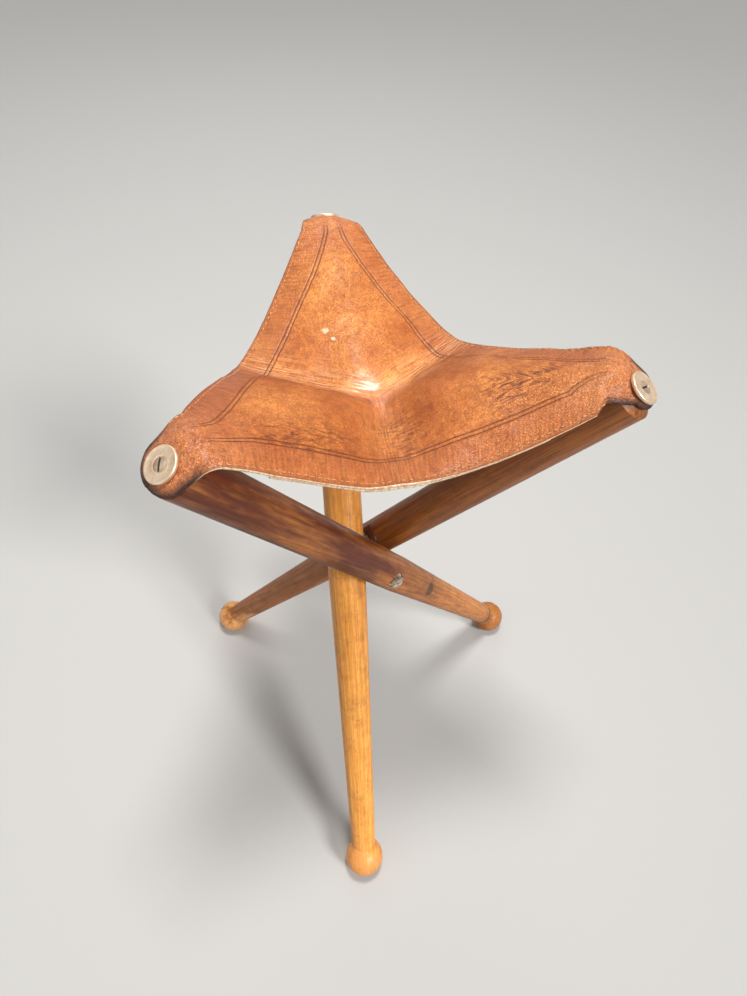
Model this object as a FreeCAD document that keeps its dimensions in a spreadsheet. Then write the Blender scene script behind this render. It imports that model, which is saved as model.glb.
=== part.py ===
"""Folding campaign stool: three turned legs crossing at a three-way pivot, under a sagging leather seat.

Millimetres, +Z up. The origin lies on the floor under the middle of the seat.
"""
import FreeCAD
import Part
import math
import os
import Sketcher
from FreeCAD import Placement, Rotation, Vector

# Driving dimensions, each with what it measures
DRIVING = {
    "washer_height": (450.0, "floor to the outer face of a corner washer, on the leg axis"),
    "washer_circle": (150.0, "radius of the circle through the corner washers"),
    "foot_circle": (165.0, "radius of the circle through the ball feet"),
    "foot_twist": (14.0, "degrees by which a foot stands off the line opposite its own corner"),
    "ball_radius": (16.25, "ball foot"),
    "foot_wear": (0.6, "depth of the flat worn on each ball foot"),
    "neck_radius": (10.3, "leg just above the ball foot"),
    "leg_radius": (14.9, "leg at the crossing and above it"),
    "taper_gap": (24.0, "crossing down to where the leg starts to taper"),
    "top_bevel": (3.9, "bevelled rim of a leg's upper end"),
    "bolt_radius": (3.0, "pivot bolt and shank of the eye bolt"),
    "bore_clearance": (0.05, "radial running clearance of a bolt in a leg or in the eye"),
    "thread_clearance": (0.05, "radial clearance of a nut on its bolt"),
    "side_clearance": (0.3, "gap between a leg and the eye, collar or washer beside it"),
    "eye_radius": (8.0, "outside of the eye"),
    "eye_thickness": (7.8, "eye, along the pivot bolt"),
    "collar_radius": (6.0, "collar of the eye bolt, against the left leg"),
    "collar_thickness": (2.5, "collar of the eye bolt"),
    "stem_radius": (3.4, "eye bolt between the eye and the collar"),
    "washer_radius": (6.2, "pivot washers"),
    "washer_thickness": (0.9, "pivot washers"),
    "washer_play": (0.2, "radial play of a pivot washer on its bolt"),
    "spotface_radius": (6.8, "round recess for the outer washer and nut in a leg"),
    "spotface_seat": (12.2, "leg axis to the floor of that recess"),
    "notch_length": (26.0, "flat notch where a leg faces the eye"),
    "notch_runout": (9.0, "rounded run-out at each end of the notch"),
    "nut_radius": (5.0, "round nuts and the head of the pivot bolt"),
    "nut_height": (4.2, "round nuts and the head of the pivot bolt"),
    "nut_bore": (2.9, "depth of a nut's blind thread"),
    "driver_slot": (1.2, "width of a screwdriver slot"),
    "driver_slot_depth": (1.1, "depth of a screwdriver slot"),
    "corner_washer_radius": (10.2, "washer on a corner of the seat"),
    "corner_washer_thickness": (2.2, "washer on a corner of the seat"),
    "screw_head_radius": (4.2, "countersunk head of a corner screw"),
    "screw_head_height": (1.9, "countersunk head of a corner screw"),
    "screw_radius": (2.1, "shank of a corner screw"),
    "screw_length": (30.0, "shank of a corner screw"),
    "screw_play": (0.05, "radial play of a corner screw in its washer and pilot hole"),
    "leather_thickness": (3.2, "seat leather"),
    "leather_clearance": (0.25, "gap on each face of the leather where it is clamped"),
    "leather_hole_play": (0.6, "radial play of a corner screw in the leather"),
    "bend_radius": (4.5, "inside of the leather's bend over the rim of a leg"),
    "tab_half_width": (17.5, "half the width of a leather tab, beside the washer's axis"),
    "shoulder_half_width": (20.5, "half the width of the leather over the rim of a leg"),
    "tab_reach": (13.6, "washer axis to the end of a leather tab"),
    "shoulder_slope": (27.0, "degrees by which the seat climbs to a corner"),
    "middle_height": (405.0, "floor to the top of the seat at its middle"),
    "mid_edge_radius": (82.0, "middle of the seat to the middle of each edge"),
    "strip_width": (20.0, "strip sewn under each edge"),
    "strip_thickness": (1.8, "strip sewn under each edge"),
    "strip_gap": (0.1, "glue line between the seat and a strip"),
}

# Direction of each seat corner seen from above, in degrees from +X
CORNERS = {"rear": 90.0, "left": 210.0, "right": 330.0}
# The two corners at the ends of each seat edge, anticlockwise
EDGES = {"left": ("rear", "left"), "front": ("left", "right"), "right": ("right", "rear")}
# How full the round end of a leather tab is, where 0.55 gives an ellipse
TAB_FULLNESS = 0.61
# How much longer than the piece it cuts a cutting tool is made
TOOL_EXCESS = 4.0
# How far the arc of a seat sheet starts before the middle, as a share of its length
SEAT_EXCESS = 0.1
# Share of the way from the crease to the shoulder at which a strip ends
STRIP_END = 0.8
# The two sides of a petal: towards the next corner anticlockwise, and towards the one before
SIDES = (1.0, -1.0)
# How nearly an edge has to run in a direction, and lie in a plane, to be found as the edge of a cut
PARALLEL = 0.99
IN_PLANE = 0.001

doc = FreeCAD.newDocument("campaign_stool")
sheet = doc.addObject("Spreadsheet::Sheet", "Dimensions")
size = {}


def put(alias, number, note):
    """Write one size to the sheet under its alias."""
    row = len(size) + 1
    sheet.set("A%d" % row, alias.replace("_", " "))
    sheet.set("B%d" % row, "%.9g" % number)
    sheet.setAlias("B%d" % row, alias)
    sheet.set("C%d" % row, note)
    size[alias] = number


for name, (number, note) in DRIVING.items():
    put(name, number, note)


# Lines and points that the sizes give

def polar(radius, degrees, height):
    """Point at a radius and direction from the stool's axis."""
    angle = math.radians(degrees)
    return Vector(radius * math.cos(angle), radius * math.sin(angle), height)


def unit(vector):
    """Vector of length one in the same direction."""
    return vector * (1.0 / vector.Length)


def frame(origin, along, across):
    """Placement whose local Z runs along one direction and whose local X lies across it."""
    upright = unit(along)
    sideways = unit(across - upright * across.dot(upright))
    return Placement(origin, Rotation(sideways, upright.cross(sideways), upright, "ZXY"))


def leg_line(corner):
    """Middle of the corner washer and of the ball foot of one leg."""
    top = polar(size["washer_circle"], corner, size["washer_height"])
    foot_direction = corner + 180.0 - size["foot_twist"]
    foot = polar(size["foot_circle"], foot_direction, size["ball_radius"] - size["foot_wear"])
    return top, foot


def nearest_points(line_a, line_b):
    """Points where two crossing lines pass closest to each other."""
    along_a = unit(line_a[0] - line_a[1])
    along_b = unit(line_b[0] - line_b[1])
    between = line_b[0] - line_a[0]
    lean = along_a.dot(along_b)
    share = 1.0 - lean * lean
    reach_a = (between.dot(along_a) - between.dot(along_b) * lean) / share
    reach_b = (between.dot(along_a) * lean - between.dot(along_b)) / share
    return line_a[0] + along_a * reach_a, line_b[0] + along_b * reach_b


lines = {name: leg_line(corner) for name, corner in CORNERS.items()}
axes = {name: unit(top - foot) for name, (top, foot) in lines.items()}
rear_pivot, right_pivot = nearest_points(lines["rear"], lines["right"])
eye_centre = (rear_pivot + right_pivot) * 0.5
bolt_line = unit(rear_pivot - right_pivot)
stem_line = unit(axes["left"].cross(Vector(0, 0, 1)))
left_reach = (lines["left"][0] - eye_centre).dot(stem_line)
if left_reach < 0.0:
    stem_line = stem_line * -1.0
    left_reach = -left_reach
left_pivot = nearest_points(lines["left"], (eye_centre + stem_line, eye_centre))[0]

pivots = {"rear": rear_pivot, "right": right_pivot, "left": left_pivot}
outward = {"rear": bolt_line, "right": bolt_line * -1.0, "left": stem_line}

# Sizes that follow from the driving ones
pair_half = (rear_pivot - eye_centre).Length
half_eye = size["eye_thickness"] / 2.0
notch_seat = pair_half - half_eye - size["side_clearance"]
clamp_stack = (2.0 * size["leather_clearance"] + size["leather_thickness"]
               + size["corner_washer_thickness"])
leg_length = (lines["rear"][0] - lines["rear"][1]).Length + size["ball_radius"] - clamp_stack
neck_height = size["ball_radius"] + math.sqrt(size["ball_radius"] ** 2 - size["neck_radius"] ** 2)
outer_seat = size["spotface_seat"] + size["side_clearance"] + size["washer_thickness"]
bolt_seat = pair_half + outer_seat
stem_seat = left_reach + outer_seat
collar_face = left_reach - notch_seat - size["side_clearance"]
thread_length = size["nut_bore"] - size["thread_clearance"]
crossing = (left_pivot - lines["left"][1]).dot(axes["left"]) + size["ball_radius"]
tool_length = TOOL_EXCESS * size["leg_radius"]

put("neck_height", neck_height, "where the ball foot meets the neck")
put("taper_end", crossing - size["taper_gap"], "ball foot to where the leg reaches its full thickness")
put("leg_length", leg_length, "ball foot to upper end")
put("bevel_start", leg_length - size["top_bevel"], "ball foot to the bevel of the upper end")
put("end_radius", size["leg_radius"] - size["top_bevel"], "flat of a leg's upper end")
put("bore_radius", size["bolt_radius"] + size["bore_clearance"], "bore for a bolt")
put("washer_bore", size["bolt_radius"] + size["washer_play"], "bore of a pivot washer")
put("thread_bore", size["bolt_radius"] + size["thread_clearance"], "bore of a nut")
put("tool_length", tool_length, "long enough to pass through a leg")
put("notch_span", size["notch_length"] + 2.0 * size["notch_runout"], "notch with its run-outs")
put("pilot_radius", size["screw_radius"] + size["screw_play"], "pilot hole and washer bore")
put("pilot_depth", size["screw_length"] + size["screw_play"], "pilot hole")
put("leather_hole", size["screw_radius"] + size["leather_hole_play"], "hole in a leather tab")
put("leather_hole_span", 2.0 * clamp_stack, "drill through a leather tab")
put("bolt_end", -2.0 * bolt_seat - thread_length, "end of the pivot bolt, from under its head")
put("stem_span", stem_seat + thread_length, "eye bolt from the eye's middle")
put("slot_span", TOOL_EXCESS * size["nut_radius"], "cut of a screwdriver slot")
put("collar_face", collar_face, "eye's middle to the collar's face")
put("collar_back", collar_face - size["collar_thickness"], "eye's middle to the collar's back")
put("stem_start", size["eye_radius"] / 2.0, "eye's middle to the start of the stem, inside the eye")
put("eye_bore_span", 2.0 * size["eye_thickness"], "drill through the eye")
put("sink_radius", size["screw_head_radius"] + size["screw_play"], "countersink of a corner washer")
put("sink_height", size["corner_washer_thickness"] - size["screw_head_height"], "foot of the countersink")
put("screw_top", size["screw_length"] + size["screw_head_height"], "face of a corner screw")
put("sheet_room", 2.0 * size["mid_edge_radius"], "width of a leather sheet before it is cut to outline")
put("seat_room", TOOL_EXCESS * size["washer_height"], "height of the prism that cuts a sheet to outline")
put("floor_span", TOOL_EXCESS * size["foot_circle"], "block under the floor that wears the feet flat")
put("floor_depth", TOOL_EXCESS * size["ball_radius"], "block under the floor that wears the feet flat")
doc.recompute()


# Ways of making a piece

def bind(item, **cells):
    """Tie properties of an object to cells of the sheet."""
    for prop, alias in cells.items():
        item.setExpression(prop, "Dimensions.%s" % alias)
    return item


def turned(name, outline):
    """Body turned about its own Z axis.

    The outline lists (radius, height, next) with radius and height as aliases, None meaning zero. Next says
    whether a line or an arc centred on the axis leads on to the next point.
    """
    body = doc.addObject("PartDesign::Body", name)
    plane = [f for f in body.Origin.OriginFeatures if f.Role == "XZ_Plane"][0]
    sketch = body.newObject("Sketcher::SketchObject", name + "_outline")
    sketch.AttachmentSupport = [(plane, "")]
    sketch.MapMode = "FlatFace"
    points = [Vector(size.get(r, 0.0), size.get(z, 0.0), 0) for r, z, _ in outline]
    count = len(points)
    for i, (_, _, lead) in enumerate(outline):
        start = points[i]
        end = points[(i + 1) % count]
        if lead == "line":
            sketch.addGeometry(Part.LineSegment(start, end), False)
            continue
        middle = (end.dot(end) - start.dot(start)) / (2.0 * (end.y - start.y))
        centre = Vector(0, middle, 0)
        circle = Part.Circle(centre, Vector(0, 0, 1), (end - centre).Length)
        sweep = [math.atan2(p.y - middle, p.x) for p in (start, end)]
        arc = sketch.addGeometry(Part.ArcOfCircle(circle, sweep[0], sweep[1]), False)
        sketch.addConstraint(Sketcher.Constraint("PointOnObject", arc, 3, -2))
    for i, (radius, height, _) in enumerate(outline):
        sketch.addConstraint(Sketcher.Constraint("Coincident", i, 2, (i + 1) % count, 1))
        for kind, alias, zero_line, number in (("DistanceX", radius, -2, points[i].x),
                                               ("DistanceY", height, -1, points[i].y)):
            if alias is None:
                sketch.addConstraint(Sketcher.Constraint("PointOnObject", i, 1, zero_line))
                continue
            index = sketch.addConstraint(Sketcher.Constraint(kind, -1, 1, i, 1, number))
            sketch.setExpression("Constraints[%d]" % index, "Dimensions.%s" % alias)
    spin = body.newObject("PartDesign::Revolution", name + "_turning")
    spin.Profile = sketch
    spin.ReferenceAxis = (sketch, ["V_Axis"])
    spin.Angle = 360.0
    body.Tip = spin
    doc.recompute()
    return body


def cylinder(name, radius, height, placement):
    """Round tool or blank whose sizes are cells of the sheet."""
    item = bind(doc.addObject("Part::Cylinder", name), Radius=radius, Height=height)
    item.Placement = placement
    return item


def block(name, length, width, height, placement):
    """Square tool whose sizes are cells of the sheet."""
    item = bind(doc.addObject("Part::Box", name), Length=length, Width=width, Height=height)
    item.Placement = placement
    return item


def cut(name, base, *tools):
    """Base with every tool taken out of it, one after the other."""
    for i, tool in enumerate(tools):
        step = doc.addObject("Part::Cut", "%s_cut_%d" % (name, i + 1))
        step.Base = base
        step.Tool = tool
        base = step
    return base


pieces = []


def piece(item, label):
    """Name a finished sub-part and keep it for writing."""
    item.Label = label
    pieces.append(item)
    return item


# Legs

LEG_OUTLINE = [
    (None, None, "arc"),
    ("neck_radius", "neck_height", "line"),
    ("leg_radius", "taper_end", "line"),
    ("leg_radius", "bevel_start", "line"),
    ("end_radius", "leg_length", "line"),
    (None, "leg_length", "line"),
]


def make_leg(name):
    """One turned leg with its ball foot, pivot bore, notch, recess, pilot hole and worn foot."""
    top, foot = lines[name]
    place = frame(foot - axes[name] * size["ball_radius"], axes[name], outward[name])
    body = turned("leg_%s_blank" % name, LEG_OUTLINE)
    body.Placement = place
    pivot = pivots[name]
    sideways = axes[name].cross(outward[name])
    half_through = outward[name] * (size["tool_length"] / 2.0)
    bore = cylinder("leg_%s_bore" % name, "bore_radius", "tool_length",
                    frame(pivot - half_through, outward[name], axes[name]))
    recess = cylinder("leg_%s_recess" % name, "spotface_radius", "tool_length",
                      frame(pivot + outward[name] * size["spotface_seat"], outward[name], axes[name]))
    corner = (pivot - outward[name] * notch_seat - sideways * (size["tool_length"] / 2.0)
              - axes[name] * (size["notch_span"] / 2.0))
    notch_block = block("leg_%s_notch_block" % name, "notch_span", "tool_length", "tool_length",
                        frame(corner, outward[name] * -1.0, axes[name]))
    if notch_block.Placement.multVec(Vector(0, 1, 0)).sub(corner).dot(sideways) < 0.0:
        notch_block.Placement.Base = corner + sideways * size["tool_length"]
    notch = doc.addObject("Part::Fillet", "leg_%s_notch" % name)
    notch.Base = notch_block
    doc.recompute()
    run_outs = []
    for i, edge in enumerate(notch_block.Shape.Edges):
        along = unit(edge.Vertexes[1].Point - edge.Vertexes[0].Point)
        seat_gap = (edge.CenterOfMass - pivot).dot(outward[name]) + notch_seat
        if abs(along.dot(sideways)) > PARALLEL and abs(seat_gap) < IN_PLANE:
            run_outs.append((i + 1, size["notch_runout"], size["notch_runout"]))
    notch.Edges = run_outs
    end_face = top - axes[name] * clamp_stack
    pilot = cylinder("leg_%s_pilot" % name, "pilot_radius", "pilot_depth",
                     frame(end_face - axes[name] * size["pilot_depth"], axes[name], outward[name]))
    half_floor = size["floor_span"] / 2.0
    floor = block("leg_%s_floor" % name, "floor_span", "floor_span", "floor_depth",
                  Placement(Vector(-half_floor, -half_floor, -size["floor_depth"]), Rotation()))
    piece(cut("leg_%s" % name, body, bore, recess, notch, pilot, floor), "leg_%s" % name)


# Three-way pivot

PIVOT_WASHER = [
    ("washer_bore", None, "line"),
    ("washer_radius", None, "line"),
    ("washer_radius", "washer_thickness", "line"),
    ("washer_bore", "washer_thickness", "line"),
]
ROUND_NUT = [
    ("thread_bore", None, "line"),
    ("nut_radius", None, "line"),
    ("nut_radius", "nut_height", "line"),
    (None, "nut_height", "line"),
    (None, "nut_bore", "line"),
    ("thread_bore", "nut_bore", "line"),
]
PIVOT_BOLT = [
    (None, "nut_height", "line"),
    ("nut_radius", "nut_height", "line"),
    ("nut_radius", None, "line"),
    ("bolt_radius", None, "line"),
    ("bolt_radius", "bolt_end", "line"),
    (None, "bolt_end", "line"),
]
EYE_STEM = [
    (None, "stem_start", "line"),
    ("stem_radius", "stem_start", "line"),
    ("stem_radius", "collar_back", "line"),
    ("collar_radius", "collar_back", "line"),
    ("collar_radius", "collar_face", "line"),
    ("bolt_radius", "collar_face", "line"),
    ("bolt_radius", "stem_span", "line"),
    (None, "stem_span", "line"),
]


def slot(name, top, along, across):
    """Cut for a screwdriver slot in a round head whose top lies at a point, facing along."""
    half_span = size["slot_span"] / 2.0
    half_slot = size["driver_slot"] / 2.0
    place = frame(top - along * size["driver_slot_depth"], along, across)
    place.Base = place.multVec(Vector(-half_span, -half_slot, 0))
    return block(name, "slot_span", "driver_slot", "slot_span", place)


def make_washer(label, seat, along):
    """Pivot washer that lies on a seat and stands up along a direction."""
    body = turned(label, PIVOT_WASHER)
    body.Placement = frame(seat, along, stem_line + bolt_line)
    piece(body, label)


def make_nut(label, seat, along, across):
    """Round nut with a blind thread and a screwdriver slot, on a seat."""
    body = turned(label + "_blank", ROUND_NUT)
    body.Placement = frame(seat, along, across)
    face = seat + along * size["nut_height"]
    piece(cut(label, body, slot(label + "_slot", face, along, across)), label)


def make_pivot():
    """Pivot bolt through the rear and right legs, eye bolt through the left leg, and what holds them."""
    head_seat = eye_centre + bolt_line * bolt_seat
    nut_seat = eye_centre - bolt_line * bolt_seat
    bolt = turned("pivot_bolt_blank", PIVOT_BOLT)
    bolt.Placement = frame(head_seat, bolt_line, stem_line)
    head_slot = slot("pivot_bolt_slot", head_seat + bolt_line * size["nut_height"], bolt_line, stem_line)
    piece(cut("pivot_bolt", bolt, head_slot), "pivot_bolt")
    make_nut("pivot_nut", nut_seat, bolt_line * -1.0, stem_line)

    ring = cylinder("eye_ring", "eye_radius", "eye_thickness",
                    frame(eye_centre - bolt_line * half_eye, bolt_line, stem_line))
    stem = turned("eye_stem", EYE_STEM)
    stem.Placement = frame(eye_centre, stem_line, bolt_line)
    joined = doc.addObject("Part::Fuse", "eye_bolt_joined")
    joined.Base = ring
    joined.Tool = stem
    eye_bore = cylinder("eye_bore", "bore_radius", "eye_bore_span",
                        frame(eye_centre - bolt_line * size["eye_thickness"], bolt_line, stem_line))
    piece(cut("eye_bolt", joined, eye_bore), "eye_bolt")
    make_nut("eye_bolt_nut", eye_centre + stem_line * stem_seat, stem_line, bolt_line)

    seats = {"rear": bolt_seat, "right": bolt_seat, "left": stem_seat}
    for name, seat in seats.items():
        under = seat - size["washer_thickness"]
        make_washer("pivot_washer_%s" % name, eye_centre + outward[name] * under, outward[name])


# Corner washers and screws

CORNER_WASHER = [
    ("pilot_radius", None, "line"),
    ("corner_washer_radius", None, "line"),
    ("corner_washer_radius", "corner_washer_thickness", "line"),
    ("sink_radius", "corner_washer_thickness", "line"),
    ("pilot_radius", "sink_height", "line"),
]
CORNER_SCREW = [
    (None, None, "line"),
    ("screw_radius", None, "line"),
    ("screw_radius", "screw_length", "line"),
    ("screw_head_radius", "screw_top", "line"),
    (None, "screw_top", "line"),
]
# Direction of each driver slot, in degrees about the screw
SLOT_TURN = {"rear": 35.0, "left": 12.0, "right": 80.0}


def make_corner(name):
    """Washer and countersunk slotted screw that clamp a leather tab to a leg's end."""
    top = lines[name][0]
    along = axes[name]
    face = top - along * size["corner_washer_thickness"]
    washer = turned("corner_washer_%s" % name, CORNER_WASHER)
    washer.Placement = frame(face, along, outward[name])
    piece(washer, "corner_washer_%s" % name)
    screw = turned("corner_screw_%s_blank" % name, CORNER_SCREW)
    screw.Placement = frame(top - along * size["screw_top"], along, outward[name])
    level = unit(along.cross(Vector(0, 0, 1)))
    across = Rotation(along, SLOT_TURN[name]).multVec(level)
    head_slot = slot("corner_screw_%s_slot" % name, top, along, across)
    piece(cut("corner_screw_%s" % name, screw, head_slot), "corner_screw_%s" % name)


# Leather seat

def crease_turn(corner, sign):
    """Angle from a petal's own direction to the crease on one side: half the turn to the next corner there."""
    for first, second in EDGES.values():
        if corner == (first if sign > 0.0 else second):
            return sign * math.radians((CORNERS[second] - CORNERS[first]) % 360.0) / 2.0


class Petal:
    """A third of the seat: one bent sheet from the middle, over the rim of a leg and down its end face.

    The sheet is straight across. Along it, the seat is an arc that runs into the tighter arc of the bend.
    A place on it is a distance u out from the stool's axis and a distance w across.
    """

    def __init__(self, corner):
        self.corner = corner
        self.along = axes[corner]
        self.level = unit(Vector(self.along.x, self.along.y, 0))
        self.side = Vector(0, 0, 1).cross(self.level)
        self.down = unit(self.level - self.along * self.level.dot(self.along))
        washer_stack = size["corner_washer_thickness"] + size["leather_clearance"]
        self.tab = lines[corner][0] - self.along * washer_stack
        self.bend = size["bend_radius"] + size["leather_thickness"]
        self.turn = math.acos(self.along.z) + math.radians(size["shoulder_slope"])
        self.root = self.tab - self.down * size["end_radius"]
        shoulder = self.bend_point(1.0, 0.0)
        outwards = self.outwards(1.0)
        self.shoulder = Vector(shoulder.dot(self.level), shoulder.dot(self.side), shoulder.z)
        sag = Vector(-self.shoulder.x, 0, size["middle_height"] - self.shoulder.z)
        normal = Vector(outwards.dot(self.level), 0, outwards.z)
        self.sweep_radius = sag.dot(sag) / (2.0 * sag.dot(normal))
        self.sweep_centre = Vector(self.shoulder.x, 0, self.shoulder.z) + normal * self.sweep_radius

    def place(self, u, w, height):
        """Point in space at a distance out, a distance across and a height."""
        return self.level * u + self.side * w + Vector(0, 0, height)

    def outwards(self, share):
        """Direction out of the leather on the bend, from the tab at 0 to the seat at 1."""
        return self.along * math.cos(self.turn * share) - self.down * math.sin(self.turn * share)

    def bend_point(self, share, depth):
        """Point on the bend at a depth under the leather's top."""
        centre = self.root - self.along * self.bend
        return centre + self.outwards(share) * (self.bend - depth)

    def seat_point(self, share, depth, w):
        """Point on the seat, from the middle at 0 to the shoulder at 1.

        The sweep's radius is below zero where the seat curves the other way, with its centre underneath.
        """
        middle = (Vector(0, 0, size["middle_height"]) - self.sweep_centre) * (1.0 / self.sweep_radius)
        shoulder = Vector(self.shoulder.x, 0, self.shoulder.z) - self.sweep_centre
        shoulder = shoulder * (1.0 / self.sweep_radius)
        start = math.atan2(middle.z, middle.x)
        angle = start + (math.atan2(shoulder.z, shoulder.x) - start) * share
        reach = self.sweep_radius + depth
        u = self.sweep_centre.x + reach * math.cos(angle)
        return self.place(u, w, self.sweep_centre.z + reach * math.sin(angle))

    def seat_arc(self, depth, w):
        """Arc along the seat that starts a little before the middle."""
        shares = (-SEAT_EXCESS, (1.0 - SEAT_EXCESS) / 2.0, 1.0)
        return Part.Arc(*[self.seat_point(share, depth, w) for share in shares]).toShape()

    def bend_arc(self, depth, w):
        """Arc over the rim of the leg."""
        shift = self.side * (w - self.shoulder.y)
        return Part.Arc(*[self.bend_point(share, depth) + shift for share in (1.0, 0.5, 0.0)]).toShape()

    def mid_edge(self, sign):
        """Outer end of one of the two creases beside the petal, seen from above."""
        angle = crease_turn(self.corner, sign)
        return Vector(math.cos(angle), math.sin(angle), 0) * size["mid_edge_radius"]

    def shoulder_end(self, sign):
        """End of the shoulder on one side, seen from above."""
        return Vector(self.shoulder.x, self.shoulder.y + sign * size["shoulder_half_width"], 0)


def extruded(name, face, direction, length):
    """Solid swept from a flat face along a direction, by a length from the sheet."""
    base = doc.addObject("Part::Feature", name + "_outline")
    base.Shape = face
    item = doc.addObject("Part::Extrusion", name)
    item.Base = base
    item.DirMode = "Custom"
    item.Dir = direction
    item.Solid = True
    return bind(item, LengthFwd=length)


def filled(edges):
    """Flat face inside a ring of edges."""
    return Part.Face(Part.Wire(Part.__sortEdges__(edges)))


def joined_ends(first, second, end):
    """Straight edge between the ends of two curves."""
    return Part.makeLine(first.Vertexes[end].Point, second.Vertexes[end].Point)


def sheet_of(name, petal, upper, lower, with_bend):
    """Bent sheet of one petal between two depths, wider than the seat."""
    w = -size["mid_edge_radius"]
    top = petal.seat_arc(upper, w)
    bottom = petal.seat_arc(lower, w)
    edges = [top, bottom, joined_ends(top, bottom, 0)]
    if with_bend:
        bends = [petal.bend_arc(upper, w), petal.bend_arc(lower, w)]
        edges += bends + [joined_ends(bends[0], bends[1], 1)]
    else:
        edges.append(joined_ends(top, bottom, 1))
    return extruded(name, filled(edges), petal.side, "sheet_room")


def plan_cut(name, petal, bent, corners):
    """Part of a bent sheet that lies over a polygon on the floor."""
    places = [petal.place(corner.x, corner.y, 0.0) for corner in corners]
    outline = Part.Face(Part.makePolygon(places + places[:1]))
    prism = extruded(name + "_plan", outline, Vector(0, 0, 1), "seat_room")
    common = doc.addObject("Part::Common", name)
    common.Base = bent
    common.Tool = prism
    return common


def fused(name, items):
    """Pieces of leather that run on into each other, as one."""
    item = doc.addObject("Part::MultiFuse", name)
    item.Shapes = items
    item.Refine = True
    return item


def make_tab(name, petal):
    """Flat tab under a corner washer, with a full round end."""
    end = petal.tab + petal.down * size["tab_reach"]
    edges = []
    for sign in SIDES:
        sideways = petal.side * sign
        shoulder = petal.root + sideways * size["shoulder_half_width"]
        widest = petal.tab + sideways * size["tab_half_width"]
        leave = widest + petal.down * (size["tab_reach"] * TAB_FULLNESS)
        arrive = end + sideways * (size["tab_half_width"] * TAB_FULLNESS)
        curve = Part.BezierCurve()
        curve.setPoles([widest, leave, arrive, end])
        edges += [Part.makeLine(petal.root, shoulder), Part.makeLine(shoulder, widest), curve.toShape()]
    return extruded(name, filled(edges), petal.along * -1.0, "leather_thickness")


def make_seat():
    """Seat leather: three petals that meet in creases, with a screw hole in each tab."""
    sheets = []
    holes = []
    for corner in CORNERS:
        petal = Petal(corner)
        past_bend = Vector(2.0 * petal.bend, 0, 0)
        ends = {sign: petal.shoulder_end(sign) for sign in SIDES}
        outline = [Vector(), petal.mid_edge(1.0), ends[1.0], ends[1.0] + past_bend,
                   ends[-1.0] + past_bend, ends[-1.0], petal.mid_edge(-1.0)]
        bent = sheet_of("petal_%s_sheet" % corner, petal, 0.0, size["leather_thickness"], True)
        sheets.append(plan_cut("petal_%s" % corner, petal, bent, outline))
        sheets.append(make_tab("tab_%s" % corner, petal))
        start = lines[corner][0] - axes[corner] * size["leather_hole_span"]
        holes.append(cylinder("seat_hole_%s" % corner, "leather_hole", "leather_hole_span",
                              frame(start, axes[corner], outward[corner])))
    piece(cut("seat_leather", fused("seat_leather_sheet", sheets), *holes), "seat_leather")


def make_strip(name):
    """Strip sewn under one edge of the seat, from petal to petal across the crease."""
    upper = size["leather_thickness"] + size["strip_gap"]
    lower = upper + size["strip_thickness"]
    halves = []
    for corner, sign in zip(EDGES[name], SIDES):
        petal = Petal(corner)
        start = petal.mid_edge(sign)
        run = petal.shoulder_end(sign) - start
        end = start + run * STRIP_END
        inwards = unit(Vector(run.y, -run.x, 0)) * sign
        start_inside = start - unit(start) * size["strip_width"]
        end_inside = end + inwards * size["strip_width"]
        bent = sheet_of("strip_%s_%s_sheet" % (name, corner), petal, upper, lower, False)
        halves.append(plan_cut("strip_%s_%s" % (name, corner), petal, bent,
                               [start, end, end_inside, start_inside]))
    piece(fused("edge_strip_%s" % name, halves), "edge_strip_%s" % name)


for leg in CORNERS:
    make_leg(leg)
    make_corner(leg)
make_pivot()
make_seat()
for edge_name in EDGES:
    make_strip(edge_name)
doc.recompute()

# Every object has to be sound before anything is written
for item in doc.Objects:
    if "Invalid" in item.State or "Error" in item.State:
        raise RuntimeError("%s failed: %s" % (item.Name, item.State))
for item in pieces:
    if item.Shape.isNull() or not item.Shape.isValid() or not item.Shape.Solids:
        raise RuntimeError("%s has no sound solid" % item.Label)

os.makedirs("parts", exist_ok=True)
for item in pieces:
    item.Shape.exportStep("parts/%s.step" % item.Label)
    print("%-26s %10.1f mm3" % (item.Label, item.Shape.Volume))
print("pivot at", eye_centre, "bolt along", bolt_line, "stem along", stem_line)
print("leg axes from the eye: pair %.2f, left %.2f, notch seat %.2f" % (pair_half, left_reach, notch_seat))
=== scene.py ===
# %% [markdown]
# # A folding campaign stool
# The stool is three turned legs that cross at a three-way bolt, and a leather triangle screwed to their
# upper ends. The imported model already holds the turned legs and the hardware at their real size. This
# lesson keeps those solids, gives them their finishes, and makes what a solid model can't: leather that
# sags and creases.

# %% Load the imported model
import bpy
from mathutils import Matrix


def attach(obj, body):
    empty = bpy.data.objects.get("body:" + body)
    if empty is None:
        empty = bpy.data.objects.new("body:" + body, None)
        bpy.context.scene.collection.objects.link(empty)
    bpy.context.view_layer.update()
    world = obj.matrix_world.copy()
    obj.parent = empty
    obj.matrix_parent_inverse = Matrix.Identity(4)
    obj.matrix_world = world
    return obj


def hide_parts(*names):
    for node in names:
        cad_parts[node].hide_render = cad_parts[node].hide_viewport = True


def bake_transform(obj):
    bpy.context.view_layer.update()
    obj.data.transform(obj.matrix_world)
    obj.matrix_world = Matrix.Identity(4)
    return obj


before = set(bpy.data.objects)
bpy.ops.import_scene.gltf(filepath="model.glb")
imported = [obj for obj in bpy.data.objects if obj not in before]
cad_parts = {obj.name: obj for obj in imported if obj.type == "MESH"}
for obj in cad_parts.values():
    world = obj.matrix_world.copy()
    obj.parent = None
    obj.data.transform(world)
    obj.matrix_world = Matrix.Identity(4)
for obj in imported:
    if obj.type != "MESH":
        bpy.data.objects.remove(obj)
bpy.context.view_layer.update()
from types import SimpleNamespace

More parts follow.
